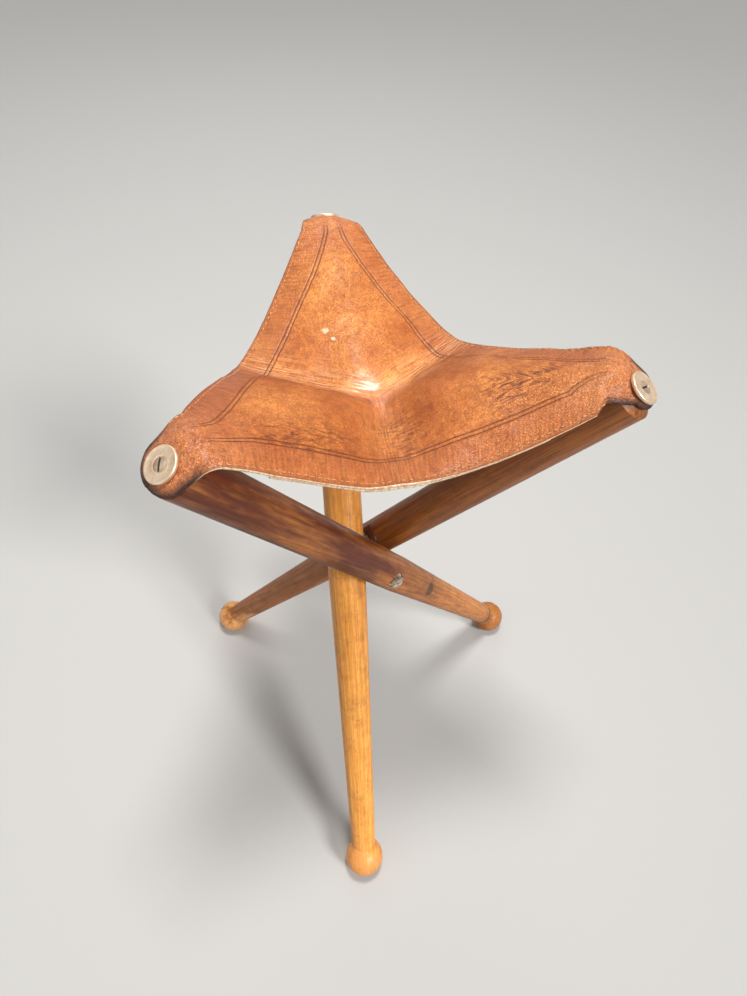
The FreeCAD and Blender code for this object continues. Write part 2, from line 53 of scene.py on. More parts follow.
import bpy
import numpy as np
from mathutils import Matrix, Vector

# %% [markdown]
# ## Small tools
# Colours are written as sRGB hex, as a picture editor shows them, and one function turns them into the
# linear values that a shader works with. One function adds a shader node with its settings and links. One
# function puts a numpy grid into a mesh. Everything is worked out in millimetres and put into the mesh in
# metres.

# %% Colours, shader nodes and meshes
MM = 0.001


def linear(hex_colour):
    """Linear RGBA of an sRGB hex colour.

    A dark channel c becomes c / 12.92, and any other ((c + 0.055) / 1.055) ** 2.4.
    """
    channels = np.array([int(hex_colour[i:i + 2], 16) for i in (1, 3, 5)]) / 255
    bright = ((channels + 0.055) / 1.055) ** 2.4
    return [float(c) for c in np.where(channels <= 0.04045, channels / 12.92, bright)] + [1.0]


def add(tree, kind, inputs=(), stops=(), **settings):
    """Adds a shader node whose properties are the settings.

    Inputs are values, sockets or nodes, whose first open output is used. They come by name, or as a list in
    the node's own order: a range takes a value, then from low, from high, to low and to high. Stops are the
    places and colours of a ramp, in rising order.
    """
    node = tree.nodes.new("ShaderNode" + kind)
    for name, value in settings.items():
        setattr(node, name, value)
    for name, value in inputs.items() if isinstance(inputs, dict) else enumerate(inputs):
        if isinstance(value, bpy.types.Node):
            value = next(socket for socket in value.outputs if socket.enabled)
        if isinstance(value, bpy.types.NodeSocket):
            tree.links.new(value, node.inputs[name])
        else:
            node.inputs[name].default_value = value
    for number, (place, colour) in enumerate(stops):
        elements = node.color_ramp.elements
        element = elements[number] if number < 2 else elements.new(place)
        element.position = place
        element.color = linear(colour)
    return node


def new_material(name):
    """An empty material and its node tree."""
    material = bpy.data.materials.new(name)
    material.use_nodes = True
    material.node_tree.nodes.clear()
    return material, material.node_tree


def surfaced(material, tree, inputs):
    """The material with a principled surface that has these inputs."""
    add(tree, "OutputMaterial", {"Surface": add(tree, "BsdfPrincipled", inputs)})
    return material


def quads(index):
    """Corner numbers of the faces between neighbouring rows and columns of a grid of vertex numbers."""
    corners = [index[:-1, :-1], index[:-1, 1:], index[1:, 1:], index[1:, :-1]]
    return np.stack(corners, axis=-1).reshape(-1, 4)


def put(name, data):
    """A new object of the scene from a mesh, a lamp or a camera."""
    item = bpy.data.objects.new(name, data)
    bpy.context.scene.collection.objects.link(item)
    return item


def put_mesh(name, points, faces, materials, face_materials=None, smooth=True):
    """A mesh object from points in millimetres and four-cornered faces."""
    mesh = bpy.data.meshes.new(name)
    mesh.vertices.add(len(points))
    mesh.vertices.foreach_set("co", (points * MM).astype(np.float32).ravel())
    mesh.loops.add(faces.size)
    mesh.loops.foreach_set("vertex_index", faces.astype(np.int32).ravel())
    mesh.polygons.add(len(faces))
    mesh.polygons.foreach_set("loop_start", np.arange(0, faces.size, 4, dtype=np.int32))
    mesh.polygons.foreach_set("use_smooth", np.full(len(faces), smooth))
    for material in materials:
        mesh.materials.append(material)
    if face_materials is not None:
        mesh.polygons.foreach_set("material_index", face_materials.astype(np.int32))
    mesh.update(calc_edges=True)
    mesh.validate()
    print(name, "has", len(points), "points and", len(faces), "faces")
    return put(name, mesh)


def note(item, **values):
    """Gives every vertex of a mesh a named number that its material can read."""
    for name, numbers in values.items():
        layer = item.data.attributes.new(name, "FLOAT", "POINT")
        layer.data.foreach_set("value", np.asarray(numbers, np.float32).ravel())


# %% [markdown]
# ## The legs' lines
# Each leg runs from a ball foot on one side, through the crossing, to a corner of the seat on the other
# side. The lines are worked out again from the stool's few driving sizes, so the leather can follow the
# leg ends.

# %% Leg lines
CORNERS = {"rear": 90.0, "left": 210.0, "right": 330.0}
WASHER_CIRCLE = 150.0
WASHER_HEIGHT = 450.0
FOOT_CIRCLE = 165.0
FOOT_TWIST = 14.0
BALL_CENTRE = 15.65
UP = np.array([0.0, 0.0, 1.0])


def unit(vector):
    """The vector at length one."""
    return vector / np.linalg.norm(vector)


def polar(radius, degrees, height):
    """Point at a radius and an angle round the stool's axis."""
    angle = np.radians(degrees)
    return np.array([radius * np.cos(angle), radius * np.sin(angle), height])


legs = {}
for corner, angle in CORNERS.items():
    top = polar(WASHER_CIRCLE, angle, WASHER_HEIGHT)
    foot = polar(FOOT_CIRCLE, angle + 180 - FOOT_TWIST, BALL_CENTRE)
    legs[corner] = SimpleNamespace(top=top, foot=foot, along=unit(top - foot))
    print("leg", corner, "is", round(np.linalg.norm(top - foot), 1), "mm long from ball to top")

# %% [markdown]
# ## The shape of the seat
# The leather is a triangle held at three points. It sags to a low middle, and three valleys run from the
# middle to the middles of the edges, because the edges are slack and the lines from the corners are taut.
# A cloth simulation could find such a shape, but this seat has its own lopsided creases from years of
# use. So each third, a petal, is a grid: a taut ridge from the middle to the leg end, slack edges as
# curves, and heights between.

# %% Sizes of the leather
LEATHER = 3.2
WASHER_THICKNESS, WASHER_GAP = 2.2, 0.25
END_RADIUS = 11.0
# Outside radius of the leather where it rolls over a leg's rim, and the slope at which it leaves.
ROLL_RADIUS = 16.0
SHOULDER_SLOPE = 27.0
# How far a tab reaches past the screw, and how full its round end is.
TAB_REACH = {"rear": 13.6, "left": 13.6, "right": 10.8}
TAB_FULLNESS = 0.61
MIDDLE_HEIGHT = 405.0
# Where each valley meets its edge: radius, angle and height.
VALLEYS = {"left": (93.0, 151.0, 408.5), "front": (81.0, 262.0, 412.0), "right": (76.0, 29.0, 412.0)}
# How wide each valley is rounded at its edge, how wide at the middle, and the share across where one
# turns to the other. Then how far from a valley its own line still shapes the petal.
VALLEY_SOFTNESS = {"left": 3.0, "front": 20.0, "right": 5.0}
MIDDLE_SOFTNESS, SOFTNESS_SHARE = 9.0, 0.6
VALLEY_REACH = 40.0
# The two edges beside each petal: the one towards its side direction, then the other.
PETAL_EDGES = {"rear": ("left", "right"), "left": ("front", "left"), "right": ("right", "front")}
# Half the width of the leather at the rim of the leg and beside the washer, on those two sides.
SHOULDER_HALF = {"rear": (18.5, 25.0), "left": (21.0, 25.0), "right": (23.0, 26.0)}
TAB_HALF = {"rear": (14.5, 17.0), "left": (17.0, 18.5), "right": (17.0, 12.5)}
# How steeply the leather falls beside the leg on those two sides.
HUG = {"rear": (0.35, 0.4), "left": (0.6, 0.4), "right": (0.2, 1.0)}
# Heights that shape an edge: its rise just after the valley, and its height before the corner.
EDGE_RISE = {("rear", "left"): (3, 436), ("left", "left"): (14, 446), ("left", "front"): (6, 438),
             ("right", "front"): (-6, 427), ("right", "right"): (7, 438), ("rear", "right"): (2, 434)}
CORNER_HANDLE = 30.0
# How far each petal swells above a straight line between middle and corner.
SWELL = {"rear": 0.5, "left": 7.0, "right": 6.5}
# The largest value of x (1 - x)^2 is 4 / 27, so this makes the swelling one at its top.
SWELL_SCALE = 27 / 4


def bezier(points, t):
    """Cubic curve through four points: weights (1-t)^3, 3t(1-t)^2, 3t^2(1-t) and t^3."""
    t = np.asarray(t)[..., None]
    a, b, c, d = points
    return a * (1 - t) ** 3 + b * 3 * t * (1 - t) ** 2 + c * 3 * t ** 2 * (1 - t) + d * t ** 3


def smooth_step(x):
    """0 below 0, 1 above 1 and 3x^2 - 2x^3 between."""
    x = np.clip(x, 0, 1)
    return x * x * (3 - 2 * x)


def petal_frame(corner):
    """Directions of one petal, and where the leather rolls over the rim of its leg."""
    leg = legs[corner]
    p = SimpleNamespace(corner=corner, along=leg.along)
    p.level = unit(leg.along * (1, 1, 0))
    p.side = np.cross(UP, p.level)
    p.down = unit(p.level - leg.along * (p.level @ leg.along))
    p.tab = leg.top - leg.along * (WASHER_THICKNESS + WASHER_GAP)
    p.turn = np.arccos(leg.along[2]) + np.radians(SHOULDER_SLOPE)
    p.roll_centre = p.tab - p.down * END_RADIUS - leg.along * ROLL_RADIUS
    p.shoulder_out = leg.along * np.cos(p.turn) - p.down * np.sin(p.turn)
    p.shoulder = p.roll_centre + p.shoulder_out * ROLL_RADIUS
    p.slope = unit(p.level * p.shoulder_out[2] - UP * (p.shoulder_out @ p.level))
    return p


petals = {corner: petal_frame(corner) for corner in CORNERS}
reach = float(petals["rear"].shoulder @ petals["rear"].level)
print("shoulder at", round(reach, 1), "mm from the axis, height", round(petals["rear"].shoulder[2], 1))

# %% [markdown]
# ## One petal as a grid
# Rows run from the valley, out along the seat, over the roll and down the tab. Columns run across, closer
# together near the cut edges, where the tooled lines are. Between ridge and edge the plan is straight,
# and the height follows a power of the share across, which makes the ridge round. Near the valley the
# height starts level, so that neighbouring petals meet without a step in the shading. Beside the leg the
# leather hugs the rim.

# %% Rows and columns of a petal
SEAT_ROWS, ROLL_ROWS, NECK_ROWS, TAB_ROWS = 124, 18, 8, 20
# Width of the finely divided band along an edge, its largest share of the half width, and the columns.
BAND, BAND_LIMIT, BAND_COLUMNS, INNER_COLUMNS = 26.0, 0.7, 58, 24
# Powers of the height across, the rows' places from the valley, the last rows' bow and the roll's drop.
CROWN, ROW_POWER, BOW_POWER, DROP_POWER = 1.7, 1.25, 8, 2.5
# Distance from the leg's axis where the leather starts to fall beside it, and how softly.
HUG_START, HUG_SOFT = 11.5, 1.5
ROUND_END_SHARE = 0.97
# Columns beside the ridge whose heights are evened, and rows over which this fades at both ends.
RIDGE_COLUMNS, RIDGE_FADE = 9, 12


def columns_across(half_width):
    """Shares across, 0 at the ridge and 1 at the edge: even steps, then fine ones in the edge band."""
    band = np.minimum(BAND / half_width, BAND_LIMIT)[:, None]
    inner = np.linspace(0, 1, INNER_COLUMNS, endpoint=False) * (1 - band)
    outer = 1 - band * np.linspace(1, 0, BAND_COLUMNS)
    return np.concatenate([inner, outer], axis=1)


def hug(distance):
    """How far a slope of one drops beside the leg: nothing near its axis, then straight, softly joined."""
    return HUG_SOFT * np.log1p(np.exp((distance - HUG_START) / HUG_SOFT))


def half_seat(p, edge_name, end):
    """Rows of the seat on one side, straight in plan from the ridge to the edge.

    The height is the ridge's own height at the same distance from the middle, plus a share of the edge's
    difference that grows with a power of the share across. Towards the valley it turns into the
    valley's line and levels out.
    """
    radius, angle, height = VALLEYS[edge_name]
    rise, high = EDGE_RISE[p.corner, edge_name]
    valley = polar(radius, angle, height)
    first = valley + (end - valley) / 3
    first[2] = height + rise
    last = end - unit(end - valley) * CORNER_HANDLE
    last[2] = high
    s = np.linspace(0, 1, SEAT_ROWS) ** ROW_POWER
    edge = bezier((valley, first, last, end), s)
    middle = UP * MIDDLE_HEIGHT
    taut = (middle, middle + (p.shoulder - middle) / 3, p.shoulder - p.slope * reach / 3, p.shoulder)
    ridge = bezier(taut, s)
    v = columns_across(np.linalg.norm((edge - ridge)[:, :2], axis=1))
    seat = ridge[:, None] + (edge - ridge)[:, None] * v[..., None]
    # The last rows bow outwards, as the first rows of the roll do.
    bow = ((edge - ridge) @ p.level * s ** BOW_POWER)[:, None] * (v ** CROWN - v)
    seat += p.level * bow[..., None]
    away = seat @ p.level
    ridge_z = np.interp(away, ridge @ p.level, ridge[:, 2])
    ridge_z += np.tan(np.radians(SHOULDER_SLOPE)) * np.maximum(away - reach, 0)
    share = np.clip(away / reach, 0, 1)
    ridge_z += SWELL[p.corner] * SWELL_SCALE * share * (1 - share) ** 2
    free = ridge_z + (edge[:, 2:] - ridge_z[:, -1:]) * v ** CROWN
    line = MIDDLE_HEIGHT + (height - MIDDLE_HEIGHT) * v[:1] ** CROWN
    run = np.linalg.norm(seat - seat[:1], axis=-1)
    free += (line - free[:1]) * (1 - smooth_step(run / VALLEY_REACH))
    outer = smooth_step(v / SOFTNESS_SHARE)
    softness = MIDDLE_SOFTNESS + (VALLEY_SOFTNESS[edge_name] - MIDDLE_SOFTNESS) * outer
    seat[..., 2] = line + (free - line) * (1 - np.exp(-run / softness))
    return seat


def half_petal(p, sign):
    """Grid of one half: rows out from the valley, columns from the ridge to the edge on the sign's side."""
    pick = 0 if sign > 0 else 1
    steep = HUG[p.corner][pick]
    shoulder_half, tab_half = SHOULDER_HALF[p.corner][pick], TAB_HALF[p.corner][pick]
    shoulder_drop = steep * hug(shoulder_half)
    edge_end = p.shoulder + p.side * sign * shoulder_half - p.shoulder_out * shoulder_drop
    seat = half_seat(p, PETAL_EDGES[p.corner][pick], edge_end)
    turned = (p.turn * np.linspace(1, 0, ROLL_ROWS + 1)[1:-1])[:, None]
    outward = p.along * np.cos(turned) - p.down * np.sin(turned)
    neck = np.linspace(0, 1, NECK_ROWS, endpoint=False)
    tab_reach = TAB_REACH[p.corner]
    corners = np.array([[tab_half, 0], [tab_half, TAB_FULLNESS * tab_reach],
                        [TAB_FULLNESS * tab_half, tab_reach], [0, tab_reach]])
    end = bezier(corners, np.linspace(0, ROUND_END_SHARE, TAB_ROWS))
    out = np.concatenate([-END_RADIUS * (1 - neck), end[:, 1]])
    on_roll = np.linspace(0, 1, len(turned) + NECK_ROWS, endpoint=False)
    half = np.concatenate([shoulder_half + (tab_half - shoulder_half) * on_roll, end[:, 0]])[:, None]
    line = np.concatenate([p.roll_centre + ROLL_RADIUS * outward, p.tab + p.down * out[:, None]])
    outward = np.concatenate([outward, np.tile(p.along, (len(out), 1))])
    share = columns_across(half[:, 0])
    # The drop beside the leg: crowned as on the seat at first, then round the leg's axis on the tab.
    beyond = np.concatenate([np.zeros(len(turned)), np.maximum(out, 0)])[:, None]
    on_tab = steep * hug(np.hypot(half * share, beyond))
    on_tab -= on_tab[:, :1] * (beyond == 0)
    taken = np.concatenate([on_roll ** DROP_POWER, np.ones(TAB_ROWS)])[:, None]
    drop = shoulder_drop * share ** CROWN * (1 - taken) + on_tab * taken
    cap = line[:, None] + p.side * (sign * half * share)[..., None] - outward[:, None] * drop[..., None]
    return np.concatenate([seat, cap])


def whole_petal(p):
    """Both halves side by side, with the ridge column once, from the side direction to the other.

    Heights above the ridge's own slope are evened across it by a moving average that fades away sideways.
    """
    grid = np.concatenate([half_petal(p, 1)[:, ::-1], half_petal(p, -1)[:, 1:]], axis=1)
    ridge = grid.shape[1] // 2
    wide = 2 * RIDGE_COLUMNS
    window = np.hanning(wide + 3)[1:-1]
    part = grid[:SEAT_ROWS, ridge - wide:ridge + wide + 1]
    away = part @ p.level
    above = part[..., 2] - np.interp(away, away[:, wide], part[:, wide, 2])
    around = np.lib.stride_tricks.sliding_window_view(above, len(window), axis=1)
    rows = np.arange(SEAT_ROWS)[:, None]
    share = window * smooth_step(rows / RIDGE_FADE) * smooth_step((SEAT_ROWS - 1 - rows) / RIDGE_FADE)
    change = (around @ window / window.sum() - above[:, RIDGE_COLUMNS:-RIDGE_COLUMNS]) * share
    grid[:SEAT_ROWS, ridge - RIDGE_COLUMNS:ridge + RIDGE_COLUMNS + 1, 2] += change
    return grid


grids = {corner: whole_petal(p) for corner, p in petals.items()}
# The cut edge all round the seat, as points.
cut_lines = np.concatenate([np.concatenate([grid[:, 0], grid[:, -1], grid[-1]]) for grid in grids.values()])
print("each petal has", grids["rear"].shape[0], "rows and", grids["rear"].shape[1], "columns")

# %% [markdown]
# ## From a sheet to a skin
# Leather has a thickness, and its cut edge shows. A modifier could thicken a sheet, but its rims would be
# flat and the order of its points unknown. So the underside and the bulging rims are added here, row by
# row, and the numbers that a finish needs can be repeated in the same order.

# %% Closed skins
# Shares of the thickness: how far the cut edge bulges, and how far in its two inner lines lie.
RIM_BULGE, RIM_STEP = 0.12, 0.3


def surface_normals(grid):
    """Unit normals of a grid: the cross product of its steps along the columns and along the rows."""
    normal = np.cross(np.gradient(grid, axis=1), np.gradient(grid, axis=0))
    return normal / np.maximum(np.linalg.norm(normal, axis=-1, keepdims=True), 1e-9)


def shell(top, normal, thickness):
    """Closed skin from a grid: the grid, an underside, and rims on the long sides that bulge a little.

    Each row is a ring of top, rim, underside and rim, and the two end rows are filled. The last list says
    which faces are top (0) and which are cut edge or underside (1).
    """
    under = top - normal * thickness[..., None]
    sides = [0, -1]
    out = np.stack([top[:, 0] - top[:, 1], top[:, -1] - top[:, -2]], axis=1)
    out -= normal[:, sides] * np.sum(out * normal[:, sides], axis=-1, keepdims=True)
    out /= np.maximum(np.linalg.norm(out, axis=-1, keepdims=True), 1e-9)
    bulge = RIM_BULGE * thickness[:, sides, None] * out
    high = top[:, sides] * (1 - RIM_STEP) + under[:, sides] * RIM_STEP + bulge
    low = top[:, sides] * RIM_STEP + under[:, sides] * (1 - RIM_STEP) + bulge
    loop = np.concatenate([top, high[:, 1:], low[:, 1:], under[:, ::-1], low[:, :1], high[:, :1]], axis=1)
    columns, total = top.shape[1], loop.shape[1]
    index = np.arange(loop.shape[0] * total).reshape(-1, total)
    rings = quads(np.concatenate([index, index[:, :1]], axis=1))
    lower = index[:, 2 * columns + 1:columns + 1:-1]
    caps = []
    for row, flip in ((0, -1), (-1, 1)):
        fill = quads(np.stack([index[row, :columns], lower[row]]))
        rims = np.stack([index[row, columns - 1:columns + 3], index[row, [2 * columns + 1, -2, -1, 0]]])
        caps += [fill[:, ::flip], rims[:, ::-flip]]
    kind = np.where(np.arange(len(rings)) % total < columns - 1, 0, 1)
    faces = np.concatenate([rings] + caps)
    return loop.reshape(-1, 3), faces, np.concatenate([kind, np.ones(len(faces) - len(rings))])


def ring(values):
    """Numbers of a grid's points, repeated for rims and underside in the order of the shell's points."""
    first, last = values[:, :1], values[:, -1:]
    return np.concatenate([values, last, last, values[:, ::-1], first, first], axis=1)


# %% [markdown]
# ## Creases, tooled lines and what the finish needs to know
# The maker ran a double line round the seat, about 20 mm inside the cut edge, where a strip is sewn
# underneath. Folding drew fine lines along the valleys and crumpled the corners. The lines and folds are
# pressed into the grid itself, so they catch the light. The grid also keeps, for every point, how near it
# is to an edge, a valley or a corner: the finish reads these numbers to darken, rub and polish the hide
# in the right places.

# %% What each point is near
LINE_INSET, LINE_SPACING, LINE_WIDTH = 19.0, 2.6, 0.55
# Share by which the lines near the edge at a corner, how far their inset wanders, and over what length.
LINE_DRAW, LINE_WANDER, WANDER_LENGTH = 0.25, 0.5, 60.0
# Distances from a leg's axis: where the lines end, where a corner's wear starts, and over what widths.
LINE_END, LINE_FADE = 20.0, 10.0
CORNER_START, CORNER_FADE = 14.0, 30.0
# Width of the wear along a valley, and how far from the middle it starts.
CREASE_WIDTH, CREASE_START = 10.0, 20.0
# The valleys behind this y are more rubbed than the one before it.
BEHIND_Y, RUBBED_BEHIND, RUBBED_BEFORE = -10.0, 0.6, 0.15
# Painted shade beside the valleys of each petal: how dark, where it begins, is full and fades, and
# the share of it beside the valley in front. Then the painted shade laid over each petal all over.
VALLEY_SHADE = {"rear": 0.0, "left": 0.95, "right": 0.6}
VALLEY_SHADE_START, VALLEY_SHADE_FULL, VALLEY_SHADE_FADE, VALLEY_SHADE_BEFORE = 6.0, 18.0, 26.0, 0.3
SIDE_PETAL_SHADE = {"rear": 0.0, "left": 0.22, "right": 0.12}
# One petal has painted shade along its rear border: strength, y where it starts, and over what width.
SHADED_BORDER_PETAL, BORDER_SHADE, BORDER_Y, BORDER_FADE = "left", 0.6, -72.0, 40.0
# Places where the hide is cracked and dirty: x, y, radius and strength.
WORN_SPOTS = [(-77, -58, 13, 0.9), (-57, -57, 13, 1.0), (-36, -52, 13, 0.9), (2, -31, 15, 0.8),
              (4, -52, 15, 0.8), (64, -44, 15, 1.5), (86, -45, 11, 1.0), (-4, 87, 14, 0.4)]


def ripple(points, length, seed, waves=28):
    """Soft random heights of about -1 to 1: plane waves of about one length in seeded directions."""
    draw = np.random.default_rng(seed)
    turn = draw.normal(size=(waves, 3))
    turn /= np.linalg.norm(turn, axis=1, keepdims=True)
    turn *= 2 * np.pi / (length * draw.uniform(0.75, 1.35, (waves, 1)))
    return np.cos(points @ turn.T + draw.uniform(0, 2 * np.pi, waves)).sum(axis=-1) / np.sqrt(waves)


def nearest(points, line):
    """Distance from every point of a grid to the nearest point of a line, one row at a time."""
    return np.stack([np.linalg.norm(row[:, None] - line[None], axis=-1).min(axis=1) for row in points])


def axis_distance(p, grid):
    """Distance of every point from the axis of the petal's leg."""
    offset = grid - p.tab
    return np.linalg.norm(offset - p.along * (offset @ p.along)[..., None], axis=-1)


def facts_of(p, grid):
    """What each point of a petal is near: distances in millimetres, shares of lines, wear and dirt, and
    painted shade.
    """
    near = SimpleNamespace()
    near.from_edge = nearest(grid, cut_lines)
    near.from_crease = nearest(grid, grid[0])
    near.along_crease = np.linalg.norm(grid - UP * MIDDLE_HEIGHT, axis=-1)
    run = np.cumsum(np.linalg.norm(np.diff(grid, axis=0, prepend=grid[:1]), axis=-1), axis=0)
    share = np.linspace(0, 1, grid.shape[1])
    near.along_edge = run[:, :1] * (1 - share) + run[:, -1:] * share
    from_axis = axis_distance(p, grid)
    near.corner = 1 - smooth_step((from_axis - CORNER_START) / CORNER_FADE)
    wander = LINE_WANDER * ripple(grid, WANDER_LENGTH, 1)
    near.inset = near.from_edge / (1 - LINE_DRAW * near.corner) + wander - LINE_INSET
    pair = [np.exp(-((near.inset - i * LINE_SPACING) / LINE_WIDTH) ** 2) for i in (0, 1)]
    near.tooled = (pair[0] + pair[1]) * smooth_step((from_axis - LINE_END) / LINE_FADE)
    near.crease = np.exp(-near.from_crease / CREASE_WIDTH) * smooth_step(near.along_crease / CREASE_START)
    x, y = grid[..., 0], grid[..., 1]
    near.rubbed = near.crease * np.where(y > BEHIND_Y, RUBBED_BEHIND, RUBBED_BEFORE)
    spots = [strength * np.exp(-((x - spot_x) ** 2 + (y - spot_y) ** 2) / radius ** 2)
             for spot_x, spot_y, radius, strength in WORN_SPOTS]
    near.worn = np.sum(spots, axis=0)
    # Painted shade: darker beside the side petals' valleys, along one border and over each side petal.
    valley_shade = VALLEY_SHADE[p.corner] * smooth_step(near.from_crease / VALLEY_SHADE_START)
    valley_shade *= 1 - smooth_step((near.from_crease - VALLEY_SHADE_FULL) / VALLEY_SHADE_FADE)
    valley_shade *= np.where(y > BEHIND_Y, 1.0, VALLEY_SHADE_BEFORE)
    border = BORDER_SHADE * (p.corner == SHADED_BORDER_PETAL) * smooth_step((y - BORDER_Y) / BORDER_FADE)
    border *= near.from_edge < LINE_INSET
    near.shade = np.maximum(np.maximum(valley_shade, border), SIDE_PETAL_SHADE[p.corner])
    return near


# %% [markdown]
# ## Pressing the relief in
# The lines were pressed with a hot iron, the folds and lumps came with use. A bump in the finish would be
# enough for the eye at rest, but not for the outline and not for a print of the mesh. So heights are
# summed up and the points are moved along the normals, or straight up beside a valley, where the two
# petals have to stay together.

# %% Relief of the leather
LINE_DEPTH = 0.4
EDGE_LINE_INSET, EDGE_LINE_WIDTH, EDGE_LINE_DEPTH = 2.6, 0.5, 0.2
# Folds along a valley: spacing, length, height, and how far from the valley they start.
FOLD_SPACING, FOLD_LENGTH, FOLD_HEIGHT, FOLD_START = 3.2, 45.0, 0.25, 1.5
# Height and length of the lumps, the small lumps and the crumples at the corners.
LUMP, LUMP_LENGTH = 0.35, 30.0
SMALL_LUMP, SMALL_LENGTH = 0.08, 9.0
CRUMPLE, CRUMPLE_LENGTH, CRUMPLE_INSET = 0.14, 6.5, 6.0
# The hide is flat under the washer, and keeps to the valley's line beside it.
FLAT_RADIUS, FLAT_FADE = 11.0, 3.0
SEAM_WIDTH = 4.0


def relief(p, grid, near):
    """The grid with its lines, folds and lumps pressed in, and the normals of the plain grid."""
    constant = np.full(grid.shape[:2], p.level[0])
    along = np.stack([near.from_crease / FOLD_SPACING, near.along_crease / FOLD_LENGTH, constant], axis=-1)
    folds = ripple(along, 1.0, 2) * near.crease * smooth_step(near.from_crease / FOLD_START)
    clear = smooth_step((axis_distance(p, grid) - FLAT_RADIUS) / FLAT_FADE)
    lumps = clear * (LUMP * ripple(grid, LUMP_LENGTH, 3) + SMALL_LUMP * ripple(grid, SMALL_LENGTH, 4))
    crumple = clear * near.corner * CRUMPLE * ripple(grid, CRUMPLE_LENGTH, 5)
    crumple *= smooth_step(near.from_edge / CRUMPLE_INSET)
    edge_line = EDGE_LINE_DEPTH * np.exp(-((near.from_edge - EDGE_LINE_INSET) / EDGE_LINE_WIDTH) ** 2)
    height = lumps + crumple + FOLD_HEIGHT * folds - LINE_DEPTH * near.tooled - edge_line
    normal = surface_normals(grid)
    share = smooth_step(near.from_crease / SEAM_WIDTH)[..., None]
    lift = normal * share + UP * (1 - share)
    lift /= np.linalg.norm(lift, axis=-1, keepdims=True)
    return grid + lift * height[..., None], normal


# %% [markdown]
# ## Leather finish
# The seat is vegetable-tanned cowhide: a pebbled grain, waxed and handled until it shines, orange where
# it is rubbed and brown where dirt settled, with painted shade on the side petals. One photograph of
# leather could be wrapped round the seat, but the wear would fall in the wrong places. So the colour is
# built up in layers, and the numbers kept on the points steer each layer.

# %% Waxed cowhide
# Size in mm, detail and roughness of each even pattern of the hide.
HIDE_NOISE = {"patch": (38.0, 6.0, 0.62), "mottle": (5.5, 8.0, 0.68), "field": (22.0, 4.0, 0.6),
              "scuff": (4.0, 9.0, 0.75), "grain": (0.6, 2.0, 0.5)}
# Patterns drawn out along an edge or a valley: the two numbers on the points that they lie along, their
# size in mm along each, detail, roughness and sway.
HIDE_LINES = {"furrow": ("along_edge", "from_edge", 7.0, 1.7, 5.0, 0.65, 0.6),
              "wrinkle": ("along_edge", "from_edge", 1.5, 14.0, 4.0, 0.6, 0.0),
              "fold": ("from_crease", "along_crease", 0.95, 24.0, 5.0, 0.6, 0.0)}
# Sizes in mm of the pebbles, of the net of cracks, and of how far the mottling bends both.
PEBBLE, CRACK, BEND = 1.2, 1.1, 3.0
# Where the sewn border ends, in mm from the edge.
BORDER_FROM, BORDER_TO = 17.0, 21.0
# What years laid over the hide, from below: a pattern, two of its values, the colour's share at each, the
# pattern that steers the share, and the colour. The border's own colour comes from its wrinkles.
HIDE_LAYERS = [
    # Dirt settles in the cracks, more in some places, and darkens each pebble round its foot.
    ("field", 0.42, 0.66, 0.15, 0.6, "crack", "#6b2f12"),
    ("pebble", 0.3, 0.6, 0.0, 0.45, None, "#8e4416"),
    # Where the hide is worn, the wrinkles are dark.
    ("furrow", 0.54, 0.4, 0.0, 0.85, "worn", "#6b2f12"),
    # The sewn border is redder, with fine wrinkles that run across it.
    ("border", 0.0, 1.0, 0.0, 0.42, None, None),
    # Folding rubs fine pale lines along the valleys, and dirt lies between them.
    ("fold", 0.46, 0.62, 0.0, 1.0, "rubbed", "#f2c592"),
    ("fold", 0.46, 0.3, 0.0, 1.0, "crease", "#7d3d1a"),
    # Round the washers the grain is scratched to a pinkish layer, on lines where the noise is a half.
    ("scratch", 0.03, 0.0, 0.0, 0.5, "corner", "#e6b48f"),
    # Dirt fills the tooled lines, and the cut edge is burnished, nearly black at the corners.
    ("beside_line", 0.25, 0.75, 1.0, 0.0, "tooled", "#5a2a10"),
    ("from_edge", 0.4, 2.2, 0.4, 0.0, None, "#6e3b20"),
    ("from_edge", 0.8, 5.5, 1.0, 0.0, "handled", "#2e170c"),
]
# Places and radii of old drips of pale paint, their raggedness, and the two sides of their soft rim.
PAINT_SPOTS = [((-21.8, 51.6, 422.6), 2.0), ((-18.2, 44.7, 420.6), 1.6), ((-40.9, -56.5, 427.8), 1.6)]
PAINT_RAGGED, PAINT_OUTER, PAINT_INNER = 6.0, 3.4, 2.4


def layered(tree, colour, layers):
    """Lays paints, hex or nodes, over a colour, one after another, each at its own share.

    A mix node's inputs 0, 6 and 7 are its share and the two colours.
    """
    for share, paint in layers:
        over = linear(paint) if isinstance(paint, str) else paint
        colour = add(tree, "Mix", {0: share, 6: colour, 7: over}, data_type="RGBA")
    return colour


